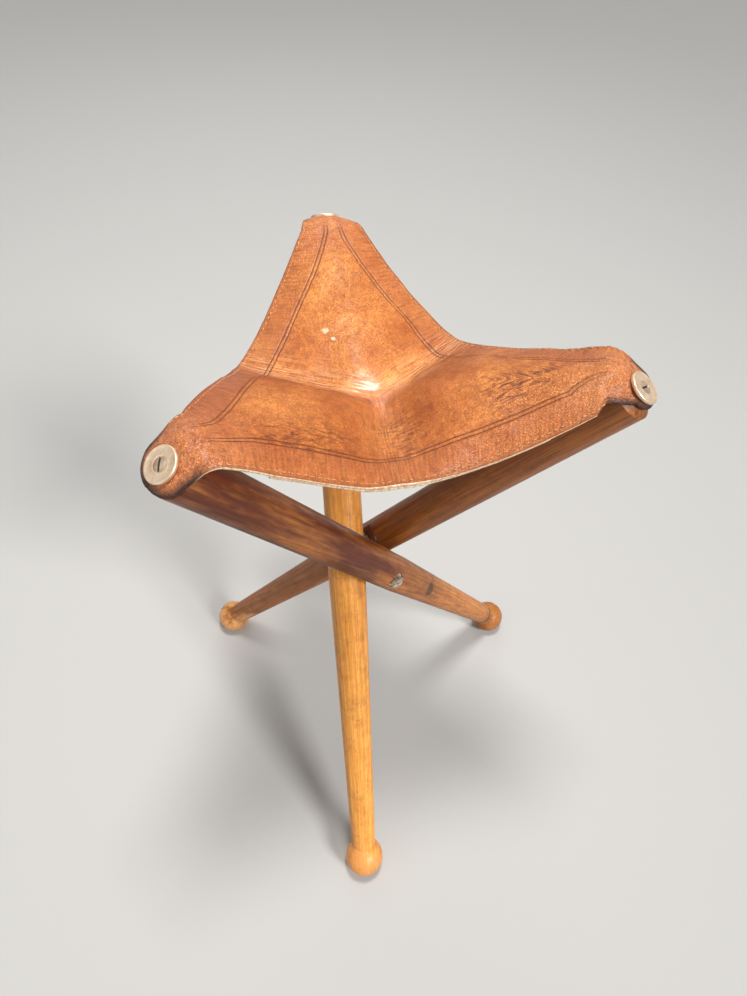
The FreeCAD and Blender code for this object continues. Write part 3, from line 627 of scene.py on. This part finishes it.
def hide_patterns(tree, names):
    """The named numbers kept on the points and the patterns of the hide, together under their names."""
    h = SimpleNamespace(where=add(tree, "TexCoord").outputs["Object"])
    for name in names:
        setattr(h, name, add(tree, "Attribute", attribute_name=name).outputs["Fac"])
    for name, (size, detail, rough) in HIDE_NOISE.items():
        inputs = {"Vector": h.where, "Scale": 1 / (size * MM), "Detail": detail, "Roughness": rough}
        setattr(h, name, add(tree, "TexNoise", inputs))
    for name, (first, second, first_size, second_size, detail, rough, sway) in HIDE_LINES.items():
        lay = add(tree, "CombineXYZ", [getattr(h, first), getattr(h, second)])
        lay = add(tree, "Mapping", {"Vector": lay, "Scale": (1 / first_size, 1 / second_size, 1.0)})
        inputs = {"Vector": lay, "Scale": 1.0, "Detail": detail, "Roughness": rough, "Distortion": sway}
        setattr(h, name, add(tree, "TexNoise", inputs))
    bend = [h.mottle.outputs["Color"], (BEND * MM, BEND * MM, BEND * MM), h.where]
    bent = add(tree, "VectorMath", bend, operation="MULTIPLY_ADD")
    net = add(tree, "TexVoronoi", {"Vector": bent, "Scale": 1 / (CRACK * MM)}, feature="DISTANCE_TO_EDGE")
    h.crack = add(tree, "MapRange", [net, 0.02, 0.14, 1.0, 0.0])
    h.pebble = add(tree, "TexVoronoi", {"Vector": bent, "Scale": 1 / (PEBBLE * MM)}, feature="SMOOTH_F1")
    h.border = add(tree, "MapRange", [h.from_edge, BORDER_FROM, BORDER_TO, 1.0, 0.0])
    return h


def blot(tree, where, place, noise, ragged, rim, most=1.0):
    """Share of a ragged blot round a place, which grows from the outer to the inner side of its rim."""
    away = add(tree, "VectorMath", [where, np.array(place) * MM], operation="DISTANCE")
    uneven = add(tree, "Math", [noise, ragged * MM, away], operation="MULTIPLY_ADD")
    return add(tree, "MapRange", [uneven, rim[0] * MM, rim[1] * MM, 0.0, most])


def hide_layers(tree, h):
    """Shares and colours of what years laid over the hide, in the order in which they lie on it."""
    level = add(tree, "Math", [h.scuff, 0.5], operation="SUBTRACT")
    h.scratch = add(tree, "Math", [level], operation="ABSOLUTE")
    h.beside_line = add(tree, "Math", [h.inset, LINE_SPACING / 2], operation="PINGPONG")
    h.handled = add(tree, "MapRange", [h.corner, 0.75, 0.95])
    reddish = add(tree, "ValToRGB", [h.wrinkle], stops=[(0.35, "#70331a"), (0.62, "#c4703f")])
    layers = []
    for pattern, *shares, steer, paint in HIDE_LAYERS:
        share = add(tree, "MapRange", [getattr(h, pattern), *shares])
        if steer:
            share = add(tree, "Math", [share, getattr(h, steer)], operation="MULTIPLY")
        layers.append((share, paint or reddish))
    for place, radius in PAINT_SPOTS:
        rim = (radius + PAINT_OUTER, radius + PAINT_INNER)
        layers.append((blot(tree, h.where, place, h.scuff, PAINT_RAGGED, rim), "#d6bf9a"))
    return layers


def cowhide(names):
    """Waxed vegetable-tanned cowhide: mottled orange brown, dark lines, pale rubbed folds, soft gloss."""
    material, tree = new_material("waxed_cowhide")
    h = hide_patterns(tree, names)
    # Orange and brown patches, with a few nearly bare spots.
    tones = [(0.3, "#b55a1c"), (0.74, "#f8a24d"), (0.742, "#f4c2ab"), (1.0, "#ffffff")]
    colour = add(tree, "ValToRGB", [h.patch], stops=tones)
    # Painted shade: darker, redder hide beside the side petals' valleys, along one border and over those
    # petals. Then fine mottling.
    colour = layered(tree, colour, [(h.shade, "#9c420f")])
    speck = add(tree, "ValToRGB", [h.mottle], stops=[(0.34, "#93603f"), (0.57, "#ffffff")])
    colour = add(tree, "Mix", {0: 0.5, 6: colour, 7: speck}, data_type="RGBA", blend_type="MULTIPLY")
    colour = layered(tree, colour, hide_layers(tree, h))
    # Relief too fine for the grid: grain, pebbles, border wrinkles, folds along the valleys and cracks.
    folded = add(tree, "Math", [h.fold, h.crease], operation="MULTIPLY")
    height = h.pebble
    for pattern, share in ((h.grain, 0.35), (h.wrinkle, h.border), (folded, 2.0), (h.crack, -0.8)):
        height = add(tree, "Math", [pattern, share, height], operation="MULTIPLY_ADD")
    # Sitting wore the middle flat and polished its wax.
    uneven = add(tree, "MapRange", [h.along_crease, 8.0, 30.0, 0.15, 0.8])
    bump = add(tree, "Bump", {"Height": height, "Strength": uneven, "Distance": 0.4 * MM})
    gloss = add(tree, "MapRange", [h.mottle, 0.35, 0.65, 0.5, 0.36])
    sat = add(tree, "MapRange", [h.along_crease, 6.0, 26.0, 0.6])
    gloss = add(tree, "Math", [gloss, sat], operation="MULTIPLY")
    wax = add(tree, "MapRange", [h.along_crease, 8.0, 24.0, 0.8, 0.06])
    return surfaced(material, tree, {"Base Color": colour, "Roughness": gloss, "IOR": 1.44, "Normal": bump,
                                     "Coat Weight": wax, "Coat Roughness": 0.26})


# %% [markdown]
# ## Cut edges, flesh side and thread
# A cut through hide shows pale packed fibres, and its underside is a soft brown nap. Handling burnishes
# the edge nearly black at the corners. The edge strips are held by a row of waxed linen stitches close to
# the cut edge. Both are small in the picture, so one noise each is enough.

# %% Cut hide and linen
FIBRE_SIZE, TWIST_SIZE = 1.6, 0.7


def cut_hide():
    """Cut edge and flesh side of hide: pale fibres without gloss, burnished dark near the corners."""
    material, tree = new_material("cut_hide")
    where = add(tree, "TexCoord").outputs["Object"]
    corner = add(tree, "Attribute", attribute_name="corner").outputs["Fac"]
    fibre = add(tree, "TexNoise", {"Vector": where, "Scale": 1 / (FIBRE_SIZE * MM), "Detail": 7.0,
                                   "Roughness": 0.7})
    colour = add(tree, "ValToRGB", [fibre], stops=[(0.32, "#a87448"), (0.68, "#f6e2c2"), (1.0, "#ffffff")])
    dark = add(tree, "MapRange", [corner, 0.8, 0.96])
    colour = layered(tree, colour, [(dark, "#3d2215")])
    bump = add(tree, "Bump", {"Height": fibre, "Strength": 0.6, "Distance": 0.5 * MM})
    return surfaced(material, tree, {"Base Color": colour, "Roughness": 0.88, "IOR": 1.45, "Normal": bump})


def waxed_linen():
    """Waxed linen thread: brown, twisted, a little shiny from the wax."""
    material, tree = new_material("waxed_linen")
    where = add(tree, "TexCoord").outputs["Object"]
    twist = add(tree, "TexNoise", {"Vector": where, "Scale": 1 / (TWIST_SIZE * MM), "Detail": 3.0})
    colour = add(tree, "ValToRGB", [twist], stops=[(0.35, "#7a4a28"), (0.65, "#c99a68")])
    bump = add(tree, "Bump", {"Height": twist, "Strength": 0.5, "Distance": 0.2 * MM})
    return surfaced(material, tree, {"Base Color": colour, "Roughness": 0.6, "Normal": bump})


facts = {corner: facts_of(p, grids[corner]) for corner, p in petals.items()}
hide, cut, linen = cowhide(vars(facts["rear"])), cut_hide(), waxed_linen()
print("leather finishes:", hide.name, cut.name, linen.name)

# %% [markdown]
# ## Placing the petals
# When the stool folds, the middle of the seat stays with the crossing and each corner goes with its leg.
# A petal could ride on one body only, but it would tear off there. Here every petal is only put in place,
# with its placement baked into its mesh.

# %% Petals
# The hide is pared towards its cut edge: share of the thickness that is left, and over what width.
SKIVED, SKIVE_WIDTH = 0.6, 10.0


def follow(item):
    """Bakes the placement of a piece of leather work into its mesh."""
    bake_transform(item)


tops = {}
for corner, p in petals.items():
    near = facts[corner]
    top, normal = relief(p, grids[corner], near)
    thickness = LEATHER * (SKIVED + (1 - SKIVED) * smooth_step(near.from_edge / SKIVE_WIDTH))
    tops[corner] = SimpleNamespace(top=top, normal=normal, thickness=thickness)
    points, faces, kind = shell(top, normal, thickness)
    item = put_mesh("seat_leather_" + corner, points, faces, [hide, cut], kind)
    note(item, **{name: ring(values) for name, values in vars(near).items()})
    follow(item)
    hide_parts("seat_leather")

# %% [markdown]
# ## Strips and stitches
# A strip of thinner hide is sewn under each edge, to keep it from stretching. It follows the underside of
# the petal, so it is cut from the petal's own grid. The stitches are short capsules along one column of
# that grid. Strips and stitches have their placement baked in, like the petal that they are sewn to.

# %% Strips and stitches
# Thickness of a strip, gap under the hide, share of the seat's rows along it, and columns across it.
STRIP, STRIP_GAP, STRIP_END, STRIP_COLUMNS = 1.3, 0.3, 0.8, 44
STITCH_COLUMN, STITCH_PITCH, STITCH_LENGTH, STITCH_RADIUS = 6, 4.2, 2.9, 0.42
STITCH_RINGS, STITCH_SIDES = 7, 6
# How far a stitch stands proud, as a share of its radius, and the least value under the root.
STITCH_PROUD, STITCH_TIP = 0.35, 0.004


def at_runs(run, values, places):
    """Values along a line, by straight steps, at the given distances from its start."""
    return np.stack([np.interp(places, run, values[:, i]) for i in range(3)], axis=-1)


def stitch_row(line, normal):
    """Stitches along a line: short capsules, each a grid of rings along it and sides round it.

    With u from -1 to 1 along a stitch, its radius goes with the root of 1 - u^4, and it stands proud of the
    hide by a share of 1 - u^2.
    """
    run = np.concatenate([[0], np.cumsum(np.linalg.norm(np.diff(line, axis=0), axis=1))])
    middles = np.arange(STITCH_PITCH, run[-1] - STITCH_PITCH, STITCH_PITCH)
    u = np.linspace(-1, 1, STITCH_RINGS)
    centre = at_runs(run, line, middles[:, None] + u * STITCH_LENGTH / 2)[:, :, None]
    up = at_runs(run, normal, middles)[:, None, None]
    ahead = at_runs(run, line, middles + 0.5) - at_runs(run, line, middles - 0.5)
    across = np.cross((ahead / np.linalg.norm(ahead, axis=-1, keepdims=True))[:, None, None], up)
    size = (STITCH_RADIUS * np.sqrt(np.maximum(1 - u ** 4, STITCH_TIP)))[None, :, None, None]
    lift = (STITCH_PROUD * STITCH_RADIUS * (1 - u * u))[None, :, None, None]
    angle = np.linspace(0, 2 * np.pi, STITCH_SIDES, endpoint=False)[None, None, :, None]
    points = centre + up * (size * np.sin(angle) + lift) + across * size * np.cos(angle)
    count = STITCH_RINGS * STITCH_SIDES
    index = np.arange(count).reshape(STITCH_RINGS, STITCH_SIDES)
    sides = quads(np.concatenate([index, index[:, :1]], axis=1))[:, ::-1]
    end = np.array([[0, 1, 2, 3], [0, 3, 4, 5]])
    one = np.concatenate([sides, end, end[:, ::-1] + count - STITCH_SIDES])
    faces = one[None] + np.arange(len(middles))[:, None, None] * count
    return points.reshape(-1, 3), faces.reshape(-1, 4)


strip_rows = int(SEAT_ROWS * STRIP_END)
stitched_rows = SEAT_ROWS + ROLL_ROWS
for corner, p in petals.items():
    whole, normals = tops[corner].top, tops[corner].normal
    for sign, edge_name in zip((1, -1), PETAL_EDGES[corner]):
        # Columns of the sewn band, counted from the cut edge, kept in the order of the whole petal.
        band = slice(0, STRIP_COLUMNS) if sign > 0 else slice(-STRIP_COLUMNS, None)
        outward = normals[:strip_rows, band]
        below = tops[corner].thickness[:strip_rows, band, None] + STRIP_GAP
        under = whole[:strip_rows, band] - outward * below
        points, faces, _ = shell(under, outward, np.full(under.shape[:2], STRIP))
        item = put_mesh(f"edge_strip_{edge_name}_{corner}", points, faces, [cut])
        note(item, corner=np.zeros(len(points)))
        follow(item)
        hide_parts("edge_strip_" + edge_name)
        column = STITCH_COLUMN if sign > 0 else -1 - STITCH_COLUMN
        points, faces = stitch_row(whole[:stitched_rows, column], normals[:stitched_rows, column])
        item = put_mesh(f"stitches_{edge_name}_{corner}", points, faces, [linen])
        follow(item)

# %% [markdown]
# ## Turned legs
# The legs were turned on a lathe from straight-grained hardwood and polished brown. The grain runs along
# each leg, whatever way the leg leans, so the pattern is turned to the leg's own line first. Growth rings
# cut by the round surface give long flames, fibres give streaks and pores give short dark dashes. The
# upper halves are darker, partly from more dark polish kept under the seat and partly as painted shade
# under the seat; the lower halves were rubbed to a golden tone.

# %% Polished hardwood
# Dark and light tone of each leg, the tone of its ball, and how dark its upper half is made, by kept
# polish and painted shade.
WOOD_TONES = {"rear": ("#c9742a", "#f9b354", "#dc9252", 0.4),
              "left": ("#85440f", "#d98c42", "#935a2c", 1.0),
              "right": ("#6b330d", "#b9702f", "#fdbb78", 0.5)}
# Width and length in mm, detail and roughness of the patterns drawn out along a leg.
WOOD_NOISE = {"sway": (20.0, 130.0, 3.0, 0.5), "blotch": (16.667, 108.333, 5.0, 0.6),
              "streak": (0.8, 46.0, 4.0, 0.65), "pore": (0.45, 7.0, 1.0, 0.5)}
# Rings of growth: width, how far they sway, and the tilt and place of the pith beside the leg.
RING_WIDTH, RING_SWAY, RING_SHARE = 3.4, 7.0, 0.12
PITH_TILT, PITH_PLACE = (0.045, -0.03, 0.0), (21.0, 6.0, 0.0)
# At a scale of one, the rings of a wave texture lie this far apart.
WAVE_SCALE = 2 * np.pi / 20
# Heights above the foot, in metres, between which the darker polish and painted shade set in and the
# ball's rubbed tone fades, and how uneven these borders are.
POLISH_SHADE_FROM, POLISH_SHADE_TO, BALL_FROM, BALL_TO, UNEVEN = 0.27, 0.43, 0.15, 0.115, 0.22
GRIME_SIZE = 11.0
# One leg has a bruise (place in the leg's own lines, raggedness, outer and inner side of its rim), and
# dirt round its neck (height above the foot, half width and raggedness).
MARKED_LEG = "left"
BRUISE_PLACE, BRUISE_RAGGED, BRUISE_RIM = (-10.7, -4.3, 212.9), 6.0, (10.2, 8.2)
NECK_DIRT, NECK_HALF, NECK_RAGGED = 30.0, 3.0, 8.0


def leg_marks(tree, on_leg, height, grime):
    """Shares and colours of the bruise and the dirty neck of the marked leg."""
    bruise = blot(tree, on_leg, BRUISE_PLACE, grime, BRUISE_RAGGED, BRUISE_RIM, 0.75)
    ragged = add(tree, "Math", [grime, NECK_RAGGED * MM, height], operation="MULTIPLY_ADD")
    neck = add(tree, "Math", [ragged, NECK_DIRT * MM, NECK_HALF * MM], operation="COMPARE")
    neck = add(tree, "Math", [neck, 0.7], operation="MULTIPLY")
    return [(bruise, "#2c170c"), (neck, "#41240f")]


def polished_hardwood(corner):
    """Turned hardwood under worn brown polish: flames and streaks along the leg, soft satin gloss."""
    material, tree = new_material("polished_hardwood_" + corner)
    deep, light, ball, polish_and_shade = WOOD_TONES[corner]
    leg = legs[corner]
    across = unit(np.cross(leg.along, UP))
    turn = Matrix([list(across), list(np.cross(leg.along, across)), list(leg.along)])
    place = -np.array(turn @ Vector(leg.foot * MM))
    where = add(tree, "TexCoord").outputs["Object"]
    on_leg = add(tree, "Mapping", {"Vector": where, "Rotation": turn.to_euler(), "Location": place})
    noise = {}
    for name, (width, length, detail, rough) in WOOD_NOISE.items():
        scale = (1 / (width * MM), 1 / (width * MM), 1 / (length * MM))
        drawn = add(tree, "Mapping", {"Vector": on_leg, "Scale": scale})
        inputs = {"Vector": drawn, "Scale": 1.0, "Detail": detail, "Roughness": rough}
        noise[name] = add(tree, "TexNoise", inputs)
    # Rings round a pith beside the leg and a little askew to it, so that they run out as flames.
    pith = np.array(PITH_PLACE) * MM
    askew = add(tree, "Mapping", {"Vector": on_leg, "Rotation": PITH_TILT, "Location": pith})
    sway = [noise["sway"].outputs["Color"], (RING_SWAY * MM, RING_SWAY * MM, 0.0), askew]
    swayed = add(tree, "VectorMath", sway, operation="MULTIPLY_ADD")
    inputs = {"Vector": swayed, "Scale": WAVE_SCALE / (RING_WIDTH * MM), "Distortion": 0.6, "Detail": 2.0,
              "Detail Scale": 1.0}
    rings = add(tree, "TexWave", inputs, wave_type="RINGS", rings_direction="Z")
    grain = add(tree, "Math", [rings.outputs["Fac"], RING_SHARE, noise["streak"]], operation="MULTIPLY_ADD")
    colour = add(tree, "ValToRGB", [grain], stops=[(0.34, light), (0.82, deep)])
    pores = add(tree, "MapRange", [noise["pore"], 0.62, 0.74, 0.0, 0.3])
    colour = layered(tree, colour, [(pores, "#4a2912")])
    # Brown over the leg above the crossing, partly kept polish and partly painted shade under the seat,
    # worn through in patches.
    height = add(tree, "SeparateXYZ", [on_leg]).outputs["Z"]
    uneven = add(tree, "Math", [noise["blotch"], UNEVEN, height], operation="MULTIPLY_ADD")
    upper = add(tree, "MapRange", [uneven, POLISH_SHADE_FROM, POLISH_SHADE_TO, 0.0, polish_and_shade])
    patchy = add(tree, "MapRange", [noise["blotch"], 0.4, 0.56, 0.4])
    polish_and_shade_share = add(tree, "Math", [upper, patchy], operation="MULTIPLY")
    inputs = {0: polish_and_shade_share, 6: colour, 7: linear("#7d5424")}
    colour = add(tree, "Mix", inputs, data_type="RGBA", blend_type="MULTIPLY")
    # The floor rubbed the ball, and use left grime, with more marks on one leg.
    rubbed = add(tree, "MapRange", [uneven, BALL_FROM, BALL_TO, 0.0, 0.7])
    grime = add(tree, "TexNoise", {"Vector": where, "Scale": 1 / (GRIME_SIZE * MM), "Detail": 9.0,
                                   "Roughness": 0.78})
    dirty = add(tree, "MapRange", [grime, 0.48, 0.72, 0.0, 0.5])
    marks = leg_marks(tree, on_leg, height, grime) if corner == MARKED_LEG else []
    colour = layered(tree, colour, [(rubbed, ball), (dirty, "#5b3418"), *marks])
    open_pores = add(tree, "Bump", {"Height": pores, "Strength": 0.1, "Distance": 0.1 * MM}, invert=True)
    bump = add(tree, "Bump", {"Height": noise["streak"], "Strength": 0.12, "Distance": 0.2 * MM,
                              "Normal": open_pores})
    gloss = add(tree, "MapRange", [grime, 0.3, 0.7, 0.36, 0.55])
    return surfaced(material, tree, {"Base Color": colour, "Roughness": gloss, "IOR": 1.42, "Normal": bump})


for corner in CORNERS:
    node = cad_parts["leg_" + corner]
    node.data.materials.clear()
    node.data.materials.append(polished_hardwood(corner))
    print("leg", corner, "is", node.data.materials[0].name)

# %% [markdown]
# ## Metal of the screws, washers and crossing
# Plating has worn warm and dull on the washers, and the screws and bolts are bare steel that has browned.
# Old metal differs in tone and gloss more than in kind, so one function makes all of it. The hardware of
# the crossing keeps its solids and gets the steel only.

# %% Metal finishes
GRIT_SIZE, SCRATCH_SIZE = 0.4, 0.5


def painted_slot_shade():
    """Painted shade for a screw's slot: nearly black, dull and grainy."""
    material, tree = new_material("painted_slot_shade")
    where = add(tree, "TexCoord").outputs["Object"]
    grit = add(tree, "TexNoise", {"Vector": where, "Scale": 1 / (GRIT_SIZE * MM), "Detail": 3.0})
    colour = add(tree, "ValToRGB", [grit], stops=[(0.35, "#21160f"), (0.65, "#4b3524")])
    return surfaced(material, tree, {"Base Color": colour, "Roughness": 0.9})


def old_metal(name, bright, dull, smooth, rough, patch_size, metallic):
    """Old metal: bright where it is rubbed, tarnished in patches, with fine scratches in its gloss."""
    material, tree = new_material(name)
    where = add(tree, "TexCoord").outputs["Object"]
    patch = add(tree, "TexNoise", {"Vector": where, "Scale": 1 / (patch_size * MM), "Detail": 8.0,
                                   "Roughness": 0.68})
    colour = add(tree, "ValToRGB", [patch], stops=[(0.38, bright), (0.62, dull)])
    gloss = add(tree, "MapRange", [patch, 0.35, 0.65, smooth, rough])
    scratch = add(tree, "TexNoise", {"Vector": where, "Scale": 1 / (SCRATCH_SIZE * MM), "Detail": 4.0})
    bump = add(tree, "Bump", {"Height": scratch, "Strength": 0.15, "Distance": 0.1 * MM})
    return surfaced(material, tree, {"Base Color": colour, "Metallic": metallic, "Roughness": gloss,
                                     "Normal": bump})


slot_shade = painted_slot_shade()
plate = old_metal("worn_nickel_plate", "#f2d9bc", "#d6b48f", 0.28, 0.42, 6.0, 0.7)
screw_steel = old_metal("browned_screw_steel", "#e6d0b6", "#b0957a", 0.3, 0.42, 5.0, 0.8)
bolt_steel = old_metal("aged_bolt_steel", "#efe4d4", "#8a7c6c", 0.25, 0.45, 3.0, 0.8)
for name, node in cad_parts.items():
    if name.startswith(("corner_screw", "pivot", "eye")):
        node.data.materials.clear()
        node.data.materials.append(screw_steel if name.startswith("corner") else bolt_steel)
print("metals:", plate.name, screw_steel.name, bolt_steel.name, slot_shade.name)

# %% [markdown]
# ## Washers
# A cup-edged washer under each screw spreads the pull on the tab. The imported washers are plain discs, so
# turned ones with a rounded rim, a shallow dish and a countersink take their place. A half section
# carried round the axis, as on a lathe, makes each of them in one grid.

# %% Turned washers
WASHER_RADIUS, SCREW_HOLE, COUNTERSINK = 10.2, 2.4, 4.5
# Radius of the rim, depth and power of the dish, and how far the countersink lies below the top.
RIM_ROUND, DISH, DISH_POWER, SINK = 0.8, 0.25, 0.7, 0.05
# Straight part of the bore, and the eased edge below.
BORE, EASED = 0.6, 0.3
WASHER_STEPS, RIM_POINTS, FACE_POINTS, FACE_START = 96, 7, 9, 0.04


def washer_profile():
    """Half section of the washer, a closed loop: flat below, round rim, shallow dish, countersink and bore.

    The dish is as deep as a power of a half sine wave from the rim to the countersink.
    """
    bend = np.linspace(0, np.pi / 2, RIM_POINTS)
    rim = np.stack([WASHER_RADIUS - RIM_ROUND + RIM_ROUND * np.cos(bend),
                    WASHER_THICKNESS - RIM_ROUND + RIM_ROUND * np.sin(bend)], axis=1)
    share = np.linspace(FACE_START, 1, FACE_POINTS)[:, None]
    inner = np.array([COUNTERSINK, WASHER_THICKNESS - SINK])
    face = rim[-1] + (inner - rim[-1]) * share
    face[:, 1:] -= DISH * np.sin(np.pi * share) ** DISH_POWER
    below = np.array([[SCREW_HOLE, BORE], [SCREW_HOLE, 0.0],
                      [WASHER_RADIUS - EASED, 0.0], [WASHER_RADIUS, EASED]])
    return np.concatenate([rim, face, below])


def turned(profile, base, along, steps):
    """Closed half section of radius and height carried round an axis, with its faces outward."""
    across = unit(np.cross(along, UP))
    angle = np.linspace(0, 2 * np.pi, steps, endpoint=False)[:, None, None]
    out = across * np.cos(angle) + np.cross(along, across) * np.sin(angle)
    points = base + along * profile[None, :, 1:] + out * profile[None, :, :1]
    index = np.arange(steps * len(profile)).reshape(steps, -1)
    index = np.concatenate([index, index[:1]])
    return points.reshape(-1, 3), quads(np.concatenate([index, index[:, :1]], axis=1))[:, ::-1]


for corner, leg in legs.items():
    base = leg.top - leg.along * WASHER_THICKNESS
    points, faces = turned(washer_profile(), base, leg.along, WASHER_STEPS)
    item = put_mesh("cup_washer_" + corner, points, faces, [plate])
    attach(item, f"leg_{corner}_body")
    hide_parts("corner_washer_" + corner)

# %% [markdown]
# ## Screw heads
# The slot of a screw is the first thing the eye finds on it, and here it is painted nearly black as shade.
# A boolean cut would leave long thin faces on the dome. So the head is a grid of chords that run along the
# slot, and the three in the middle are set deeper.

# %% Slotted screw heads
# Radius, dome and depth of the head, how far its rim stands proud, and how deep the head is sunk.
HEAD_RADIUS, HEAD_DOME, HEAD_DEPTH, HEAD_PROUD, HEAD_SUNK = 4.15, 0.45, 1.5, 0.05, 0.3
SLOT_HALF, SLOT_DEPTH, SLOT_WALL = 0.6, 0.8, 0.05
SLOT_TURN = {"rear": 35.0, "left": 134.0, "right": 148.0}
# Rows along a chord, chords on each side of the slot, and how near the outermost chord comes to the rim.
HEAD_ROWS, HEAD_SIDE_COLUMNS, HEAD_REACH = 28, 18, 0.96


def slotted_head(corner):
    """Head of a screw as chords beside its slot: a low dome, 1 - (r / R) squared, with a square groove.

    Returns the grid of the top and which faces between its columns lie in the slot.
    """
    leg = legs[corner]
    across = unit(np.cross(leg.along, UP))
    turn = np.radians(SLOT_TURN[corner])
    chord = across * np.cos(turn) + np.cross(leg.along, across) * np.sin(turn)
    beside = np.cross(leg.along, chord)
    spread = np.linspace(np.pi / 2 * HEAD_REACH, np.arcsin(SLOT_HALF / HEAD_RADIUS), HEAD_SIDE_COLUMNS)
    outer = HEAD_RADIUS * np.sin(spread)
    x = np.concatenate([-outer, [-SLOT_HALF + SLOT_WALL, 0, SLOT_HALF - SLOT_WALL], outer[::-1]])
    t = np.sin(np.linspace(-np.pi / 2, np.pi / 2, HEAD_ROWS))
    y = t[:, None] * np.sqrt(HEAD_RADIUS ** 2 - x ** 2)
    height = HEAD_PROUD + HEAD_DOME * (1 - (x ** 2 + y ** 2) / HEAD_RADIUS ** 2)
    in_slot = np.abs(x) < SLOT_HALF - SLOT_WALL / 2
    height = np.where(in_slot, height - SLOT_DEPTH, height)
    base = leg.top + leg.along * (height[..., None] - HEAD_SUNK)
    grid = base + beside * x[:, None] + chord * y[..., None]
    return grid, in_slot[:-1] | in_slot[1:]


for corner, leg in legs.items():
    grid, in_slot = slotted_head(corner)
    if np.sum(surface_normals(grid) @ leg.along) < 0:
        grid = grid[:, ::-1]
    outward = np.tile(leg.along, grid.shape[:2] + (1,))
    points, faces, _ = shell(grid, outward, np.full(grid.shape[:2], HEAD_DEPTH))
    # Each ring of faces starts with the top, so the slot's faces come at the same places in every ring.
    around = len(points) // len(grid)
    one_ring = np.append(in_slot, np.zeros(around - len(in_slot)))
    # The slot's faces take the painted slot shade.
    dirty = np.zeros(len(faces))
    dirty[:around * (len(grid) - 1)] = np.tile(one_ring, len(grid) - 1)
    item = put_mesh("screw_head_" + corner, points, faces, [screw_steel, slot_shade], dirty, smooth=False)
    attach(item, f"leg_{corner}_body")
    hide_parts("corner_screw_" + corner)

# %% [markdown]
# ## Floor and light
# A pale floor takes a soft shadow. A sun in front, to the right and above is the main light. A small lamp
# overhead draws the glint in the middle of the seat, a large weak one fills the left side and another
# lights the back. The world gives the even light of a room. One bright world alone would light the stool
# too, but without a shadow.

# %% Floor and lamps
FLOOR = 4000.0
floor_material, floor_tree = new_material("pale_floor")
surfaced(floor_material, floor_tree, {"Base Color": linear("#b4b2ae"), "Roughness": 0.8})
corner_points = np.array([[-FLOOR, -FLOOR, 0], [FLOOR, -FLOOR, 0], [FLOOR, FLOOR, 0], [-FLOOR, FLOOR, 0]])
floor = put_mesh("floor", corner_points, np.array([[0, 1, 2, 3]]), [floor_material])
# Kind, place, size and power of each lamp: metres and watts, but an angle and a strength for the sun.
LAMPS = {"key": ("SUN", (0.75, -1.25, 1.5), 0.3, 3.0), "top": ("AREA", (0.075, 0.05, 1.75), 0.3, 20.0),
         "fill": ("AREA", (-1.6, -0.4, 1.3), 1.6, 5.0), "back": ("AREA", (0.2, 1.6, 1.6), 1.2, 7.0)}
LAMP_TARGET = (0, 0, 0.4)
# Strength of the room's light on the stool, and as seen by the camera and in reflections.
ROOM_LIGHT, ROOM_SHOWN = 0.34, 0.5


def stand(item, place, back, roll=0.0):
    """Puts a lamp or the camera at a place in metres, with its back to a direction, rolled by an angle."""
    level = unit(np.cross(UP, back))
    right = np.cos(roll) * level + np.sin(roll) * np.cross(back, level)
    columns = np.stack([right, np.cross(back, right), back, place], axis=1)
    item.matrix_world = Matrix([list(row) for row in columns] + [[0, 0, 0, 1]])


for name, (kind, place, size, power) in LAMPS.items():
    data = bpy.data.lights.new(name, kind)
    setattr(data, "angle" if kind == "SUN" else "size", size)
    data.energy = power
    stand(put(name, data), place, unit(np.array(place) - LAMP_TARGET))

world = bpy.data.worlds.new("studio")
bpy.context.scene.world = world
world.use_nodes = True
sky = world.node_tree
rays = add(sky, "LightPath")
shown = rays.outputs["Is Camera Ray"]
for ray in ("Is Glossy Ray", "Is Transmission Ray"):
    shown = add(sky, "Math", [shown, rays.outputs[ray]], operation="MAXIMUM")
strength = add(sky, "MapRange", [shown, 0.0, 1.0, ROOM_LIGHT, ROOM_SHOWN])
backdrop = sky.nodes["Background"]
backdrop.inputs["Color"].default_value = linear("#e6e6e8")
sky.links.new(strength.outputs["Result"], backdrop.inputs["Strength"])
print("lamps:", ", ".join(LAMPS))

# %% [markdown]
# ## Camera
# The camera looks down at the seat from the front left, close by, so the feet draw together. Its place
# and its lens were worked out from the feet, the washers and the lines of the legs in the picture.

# %% Camera
CAMERA_PLACE = np.array([-100.26, -319.44, 686.79])
AZIMUTH, ELEVATION, ROLL = np.radians([-17.551, 48.405, 3.17])
FOCAL_PIXELS, IMAGE_HEIGHT, SENSOR = 690.0, 996.0, 36.0
level, rise = np.cos(ELEVATION), np.sin(ELEVATION)
back = np.array([np.sin(AZIMUTH) * level, -np.cos(AZIMUTH) * level, rise])
data = bpy.data.cameras.new("camera")
data.sensor_fit = "VERTICAL"
data.sensor_height = SENSOR
data.lens = FOCAL_PIXELS * SENSOR / IMAGE_HEIGHT
data.clip_start = 0.01
camera = put("camera", data)
stand(camera, CAMERA_PLACE * MM, back, ROLL)
bpy.context.scene.camera = camera
bpy.context.scene.view_settings.view_transform = "Standard"
print("lens", round(data.lens, 2), "mm")

# %% [markdown]
